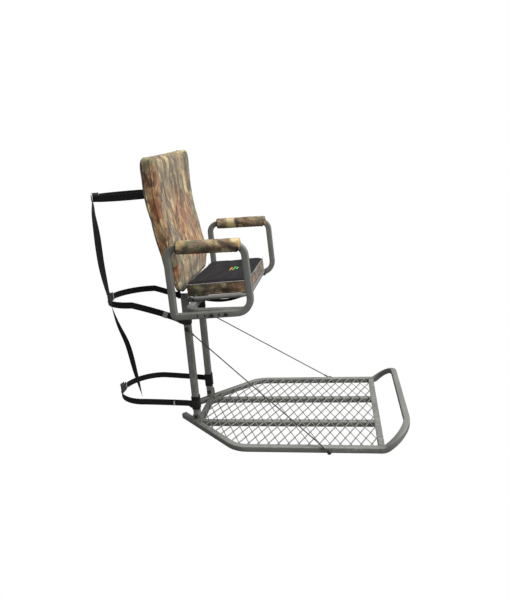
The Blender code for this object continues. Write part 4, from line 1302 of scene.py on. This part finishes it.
def make_cushion():
    """Boxed seat cushion: crowned mesh top, printed sides, light piping along the top rim."""
    z0 = SEAT_TUBE / 2 + GAP
    z1 = z0 + SEAT_T
    plan = fillet([(SEAT_REAR, -SEAT_W / 2, 0), (SEAT_REAR + SEAT_D, -SEAT_W / 2, 0),
                   (SEAT_REAR + SEAT_D, SEAT_W / 2, 0), (SEAT_REAR, SEAT_W / 2, 0)],
                  0.030, 10, True)
    rim = z1 - 0.0075
    inset = 0.0045

    def shape(p):
        # the underside lies on the seat tube and stays flat
        p.z = max(p.z, z0 + 0.0004)
        # the foam's broad face has soft dips where people sit
        if p.z > rim:
            p.z -= 0.0016 * max(0.0, 1 - hypot((p.x - SEAT_MID) / 0.09, p.y / 0.14))
        crease = noise.noise(Vector((p.x * 26, p.y * 26, p.z * 40))) * 0.0008
        side = 1.0 if z0 + 0.004 < p.z < rim - 0.002 else 0.0
        centre = Vector((SEAT_MID, 0, 0))
        away = Vector((p.x - centre.x, p.y, 0))
        if side and away.length > 1e-6:
            fold = 0.0009 * sin(p.x * 70 + p.y * 60) * sin((p.z - z0) * 90)
            p += away.normalized() * (crease + fold)
        return p
    bm = prism([tuple(p) for p in plan], z0 - 0.004, rim, inset)
    obj = stuffed("seat_pad", bm, 0.005, 0.0062, 5.0, shape)
    mesh = obj.data
    mesh.materials.append(CAMO_SEAT_SHADED)
    mesh.materials.append(AIR_MESH)
    tree = surface_of(obj)
    # seam line: where the side meets the top
    seam_z = rim - 0.0030
    middle_of_seat = (SEAT_MID, 0)
    seam = around(tree, plan, middle_of_seat, seam_z)
    foot = around(tree, plan, middle_of_seat, z0 + 0.0055)
    for face in mesh.polygons:
        face.material_index = 1 if face.center.z > seam_z else 0
    # a generic mark: three short embroidered bars, no letters
    marks = []
    for k, (dx, wide) in enumerate(((-0.012, 0.052), (0.0, 0.066), (0.012, 0.040))):
        row = []
        for j in range(19):
            y = -0.005 + wide * (j / 18 - 0.5)
            x = 0.118 + dx
            hit = tree.ray_cast(Vector((x, y, z1 + 0.03)), -Z, 0.08)
            row.append(hit[0] + Z * 0.0005 if hit[0] else Vector((x, y, z1)))
        marks.append(row)
    mesh.transform(SEAT)
    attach(obj, "seat")
    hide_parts("seat_cushion")
    up = SEAT.to_3x3() @ Z
    welt("seat_pad_piping", [SEAT @ p for p in seam], 0.0020, PIPING, "seat", ref=up)
    welt("seat_pad_lower_seam", [SEAT @ p for p in foot], 0.0016, CAMO_SEAT_SHADED, "seat", ref=up)
    inner = [SEAT @ p for p in inside_edge(tree, plan, middle_of_seat, 0.013, z1 + 0.03, 0.08, z1)]
    stitch_rows("seat_pad_stitches", [inner + [inner[0]]], DARK_THREAD, "seat", 0.0040, 0.0028,
                0.0008)
    for k, (row, look) in enumerate(zip(marks, (ORANGE, GREEN, GREEN))):
        bm = bmesh.new()
        line = [SEAT @ p for p in resample(row, 0.0009)]
        along = (line[-1] - line[0]).normalized()

        def ring(i, line=line):
            end = min(1.0, (min(i, len(line) - 1 - i) + 1) / 3)
            high = 0.0007 * (0.75 + 0.25 * (i % 2))
            return [(0.0030 * end * cos(2 * pi * m / 10), high * end * sin(2 * pi * m / 10))
                    for m in range(10)]
        loft(bm, line, axes_to(line, up.cross(along)), ring)
        piece("seat_mark_" + str(k + 1), to_mesh(bm, "seat_mark", 60), look, "seat")


BACK_W = 0.466
BACK_H = 0.488
BACK_T = 0.050
BACK_LOW = 0.545
BACK_TOP_X = -0.034
BACK_KICK = 0.056
BACK_BEND_Z = 0.900
BACK_SEAT_Z = 0.575
BACK_SKEW = 0.065


def ease(t):
    t = min(1.0, max(0.0, t))
    return t * t * (3 - 2 * t)


def hang(p):
    """From the flat panel (width, height, thickness) to where it hangs: askew, and kicked forward below."""
    z = BACK_LOW + p.y + BACK_SKEW * p.x
    kick = min(1.0, max(0.0, (BACK_BEND_Z - z) / (BACK_BEND_Z - BACK_SEAT_Z)))
    thin = 0.46 + 0.54 * ease((z - BACK_SEAT_Z) / 0.065)
    return Vector((BACK_TOP_X + BACK_KICK * kick ** 1.3 + p.z * thin, p.x, z))


def pressed_back(obj):
    """Gives the piece its own copy of its mesh; nothing is moved."""
    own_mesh(obj)


def make_backrest():
    """Thick soft panel: boxed edges, slack creases low down, seams along both rims."""
    corners = [(-BACK_W / 2, 0, 0), (BACK_W / 2, 0, 0), (BACK_W / 2, BACK_H, 0), (-BACK_W / 2, BACK_H, 0)]
    plan = fillet(corners, [0.075, 0.075, 0.022, 0.022], 10, True)
    half = BACK_T / 2

    def shape(p):
        # long soft creases run up from the lower corners, and a few across the lower third
        low = max(0.0, 1 - p.y / 0.30)
        long_fold = sin(p.x * 30 + 3 * noise.noise(Vector((p.x * 5, p.y * 4, 0.3))) + p.y * 9)
        fold = 0.0016 * low * long_fold + 0.0009 * noise.noise(Vector((p.x * 14, p.y * 7, 2.0)))
        fold += 0.0006 * noise.noise(Vector((p.x * 34, p.y * 26, 5.0)))
        p.z += fold * (1.0 if p.z > 0 else 0.8)
        return p
    bm = prism([tuple(p) for p in plan], -half + 0.004, half - 0.004, 0.0015)
    obj = stuffed("back_pad", bm, 0.006, 0.0075, 4.0, shape)
    mesh = obj.data
    tree = surface_of(obj)
    centre = (0, BACK_H / 2)
    seams = {"front": around(tree, plan, centre, half - 0.0115),
             "rear": around(tree, plan, centre, -half + 0.0115)}
    inner = inside_edge(tree, plan, centre, 0.016, 0.06, 0.09, half)
    mesh.materials.append(CAMO_BACK)
    for v in mesh.vertices:
        v.co = hang(v.co)
    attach(obj, "stand")
    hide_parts("backrest")
    pressed_back(obj)
    for tag, line in seams.items():
        seam = welt("back_pad_seam_" + tag, [hang(p) for p in line], 0.0019, CAMO_BACK, "stand",
                    ref=X)
        pressed_back(seam)
    stitches = stitch_rows("back_pad_stitches", [[hang(p) for p in inner + [inner[0]]]], THREAD, "stand",
                           0.0042, 0.0028, 0.0007)
    pressed_back(stitches)


PAD_R = 0.0225
PAD_BORE = 0.0150


def make_arm_pads():
    """Foam sleeves in printed cloth, laced shut along the underside, with bound and gathered ends; the black
    of the end binding and of the underside seam is partly the cloth's own and partly painted shade.
    """
    coarse = fillet([(x, z, 0) for x, z in LOOP], LOOP_R, 4, True)
    last_front = 3 * 5 - 1
    run = coarse[last_front - 1:last_front + 2]
    for side, s in SIDES:
        y = middle("arm_loop_" + side).y
        flat = [Vector((p.x, y, p.y)) for p in run]
        line = resample(smooth(flat, 6), 0.0022)
        n = len(line)
        axes = axes_to(line, Y)
        down = 1 if axes[n // 2][1].z < 0 else -1
        sides = 72

        def ring(i, line=line, seed=3.1 * s, n=n, down=down):
            share = i / (n - 1)
            end = min(share, 1 - share) * 0.218
            out = []
            for k in range(sides):
                a = 2 * pi * k / sides
                slit = abs(((a - down * pi / 2 + pi) % (2 * pi)) - pi)
                u = cos(a)
                v = sin(a)
                place = Vector((u * 1.6 + seed, v * 1.6, share * 9))
                fold = 0.00085 * noise.noise(place) + 0.0005 * noise.noise(place * 2.7)
                gather = 0.0011 * max(0.0, 1 - end / 0.022) * sin(a * 15 + 2 * sin(a * 3))
                pinch = 0.0024 * max(0.0, 1 - end / 0.0045) ** 2
                groove = 0.0040 * max(0.0, 1 - slit / 0.16) ** 1.5
                r = PAD_R - 0.0005 + fold + gather - pinch - groove
                out.append((r * u, r * v))
            return out
        bm = bmesh.new()
        outer = loft(bm, line, axes, ring, cap=False)
        inner = loft(bm, line, axes, circle(PAD_BORE - 0.0002, sides), cap=False)
        for end in (0, -1):
            bridge(bm, outer[end], inner[end])
        pad = piece("arm_sleeve_" + side, to_mesh(bm, "arm_sleeve_" + side, 70), CAMO_PAD, "stand",
                    ["arm_pad_" + side])
        # black binding over each open end: bound cloth, and painted shade standing for the dark inside the
        # ends
        rings = bmesh.new()
        for end in (0, n - 1):
            c = line[end]
            a, b = axes[end]
            loop = [c + (a * cos(2 * pi * k / 40) + b * sin(2 * pi * k / 40)) * (PAD_R - 0.0028)
                    for k in range(40)]
            t = (line[min(end + 1, n - 1)] - line[max(end - 1, 0)]).normalized()
            loft(rings, loop, [(t, (p - c).normalized()) for p in loop],
                 rounded_box(0.0046, 0.0036, 0.0012, 3), closed=True)
        piece("arm_sleeve_binding_and_shade_" + side, to_mesh(rings, "arm_sleeve_binding_and_shade_" + side, 50), BINDING_AND_SHADE,
              "stand")
        # a black seam along the underside: a seam, and painted shade along the line where shadow falls under
        # the sleeve
        lips = bmesh.new()
        for off in (-0.0024, 0.0024):
            lip = [p + axes[i][0] * off + axes[i][1] * down * (PAD_R - 0.0022)
                   for i, p in enumerate(line)][2:-2]
            loft(lips, lip, axes_to(lip, Y), circle(0.0018, 8))
        piece("arm_sleeve_seam_and_shade_" + side, to_mesh(lips, "arm_sleeve_seam_and_shade_" + side, 60), BINDING_AND_SHADE, "stand")
        lace = []
        for k in range(6, n - 8, 7):
            p0 = line[k] + axes[k][1] * down * (PAD_R - 0.0003)
            p1 = line[k + 4] + axes[k + 4][1] * down * (PAD_R - 0.0003)
            lace.append([p0 - Y * 0.0045, p1 + Y * 0.0045])
        stitch_rows("arm_sleeve_lacing_" + side, lace, DARK_THREAD, "stand", 0.0046, 0.0044,
                    0.0012)


SLING_W = 0.036
SLING_Y = -0.150


def make_sling():
    """Black webbing slung under the seat from its rear to its front bar, and the tie behind the backrest."""
    path = []
    for k in range(40):
        t = k / 39
        path.append(Vector((0.026 + t * 0.150, SLING_Y, -0.013 - 0.012 * sin(pi * t) - 0.004 * (1 - t))))
    path.append(Vector((SEAT_FRONT - 0.014, SLING_Y, -0.0125)))
    path.append(Vector((SEAT_FRONT - 0.0005, SLING_Y, -0.0102)))
    line = [SEAT @ p for p in resample(path, 0.004)]
    swept("seat_sling_band", line, Y, web_ring(SLING_W, WEB_SEEN_T), 60, WEBBING, "seat",
          ["seat_sling"], uv=True)
    low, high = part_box("backrest_tie")
    c = (low + high) / 2
    long = (high.z - low.z) / 2 - 0.001
    wide = (high.y - low.y) - 0.001
    turns = ((0.0012, 1.0), (0.0014, 0.2), (0.0013, -0.84), (0.0, -0.97), (-0.0013, -0.84), (-0.0012, 0.2),
             (-0.0004, 1.0))
    loop = [c + Vector((dx, 0, long * share)) for dx, share in turns]
    line = smooth(loop, 5)
    tie = swept("back_tie_loop", line, Y, web_ring(wide, 0.0011), 60, WEBBING, "stand",
                ["backrest_tie"], uv=True)
    pressed_back(tie)


make_cushion()
make_backrest()
make_arm_pads()
make_sling()

# ================================================================ looks of the CAD pieces kept as they are
KEPT = {
    STEEL: ["hinge_ear_right", "hinge_ear_left", "support_bracket_right", "support_bracket_left",
            "seat_ear_right", "seat_ear_left"],
    CAP: ["rail_tip_cap_right", "rail_tip_cap_left", "support_cap_right", "support_cap_left"],
    BUCKLE: ["upper_buckle", "middle_buckle", "lower_buckle", "upper_lever", "middle_lever", "lower_lever"],
}
for look, names in KEPT.items():
    for name in names:
        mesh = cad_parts[name].data
        mesh.materials.clear()
        mesh.materials.append(look)
        mesh.shade_smooth()
        mesh.set_sharp_from_angle(angle=radians(30))
        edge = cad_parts[name].modifiers.new("edge", "BEVEL")
        edge.width = 0.0004
        edge.segments = 2
        edge.limit_method = "ANGLE"
        edge.angle_limit = radians(40)
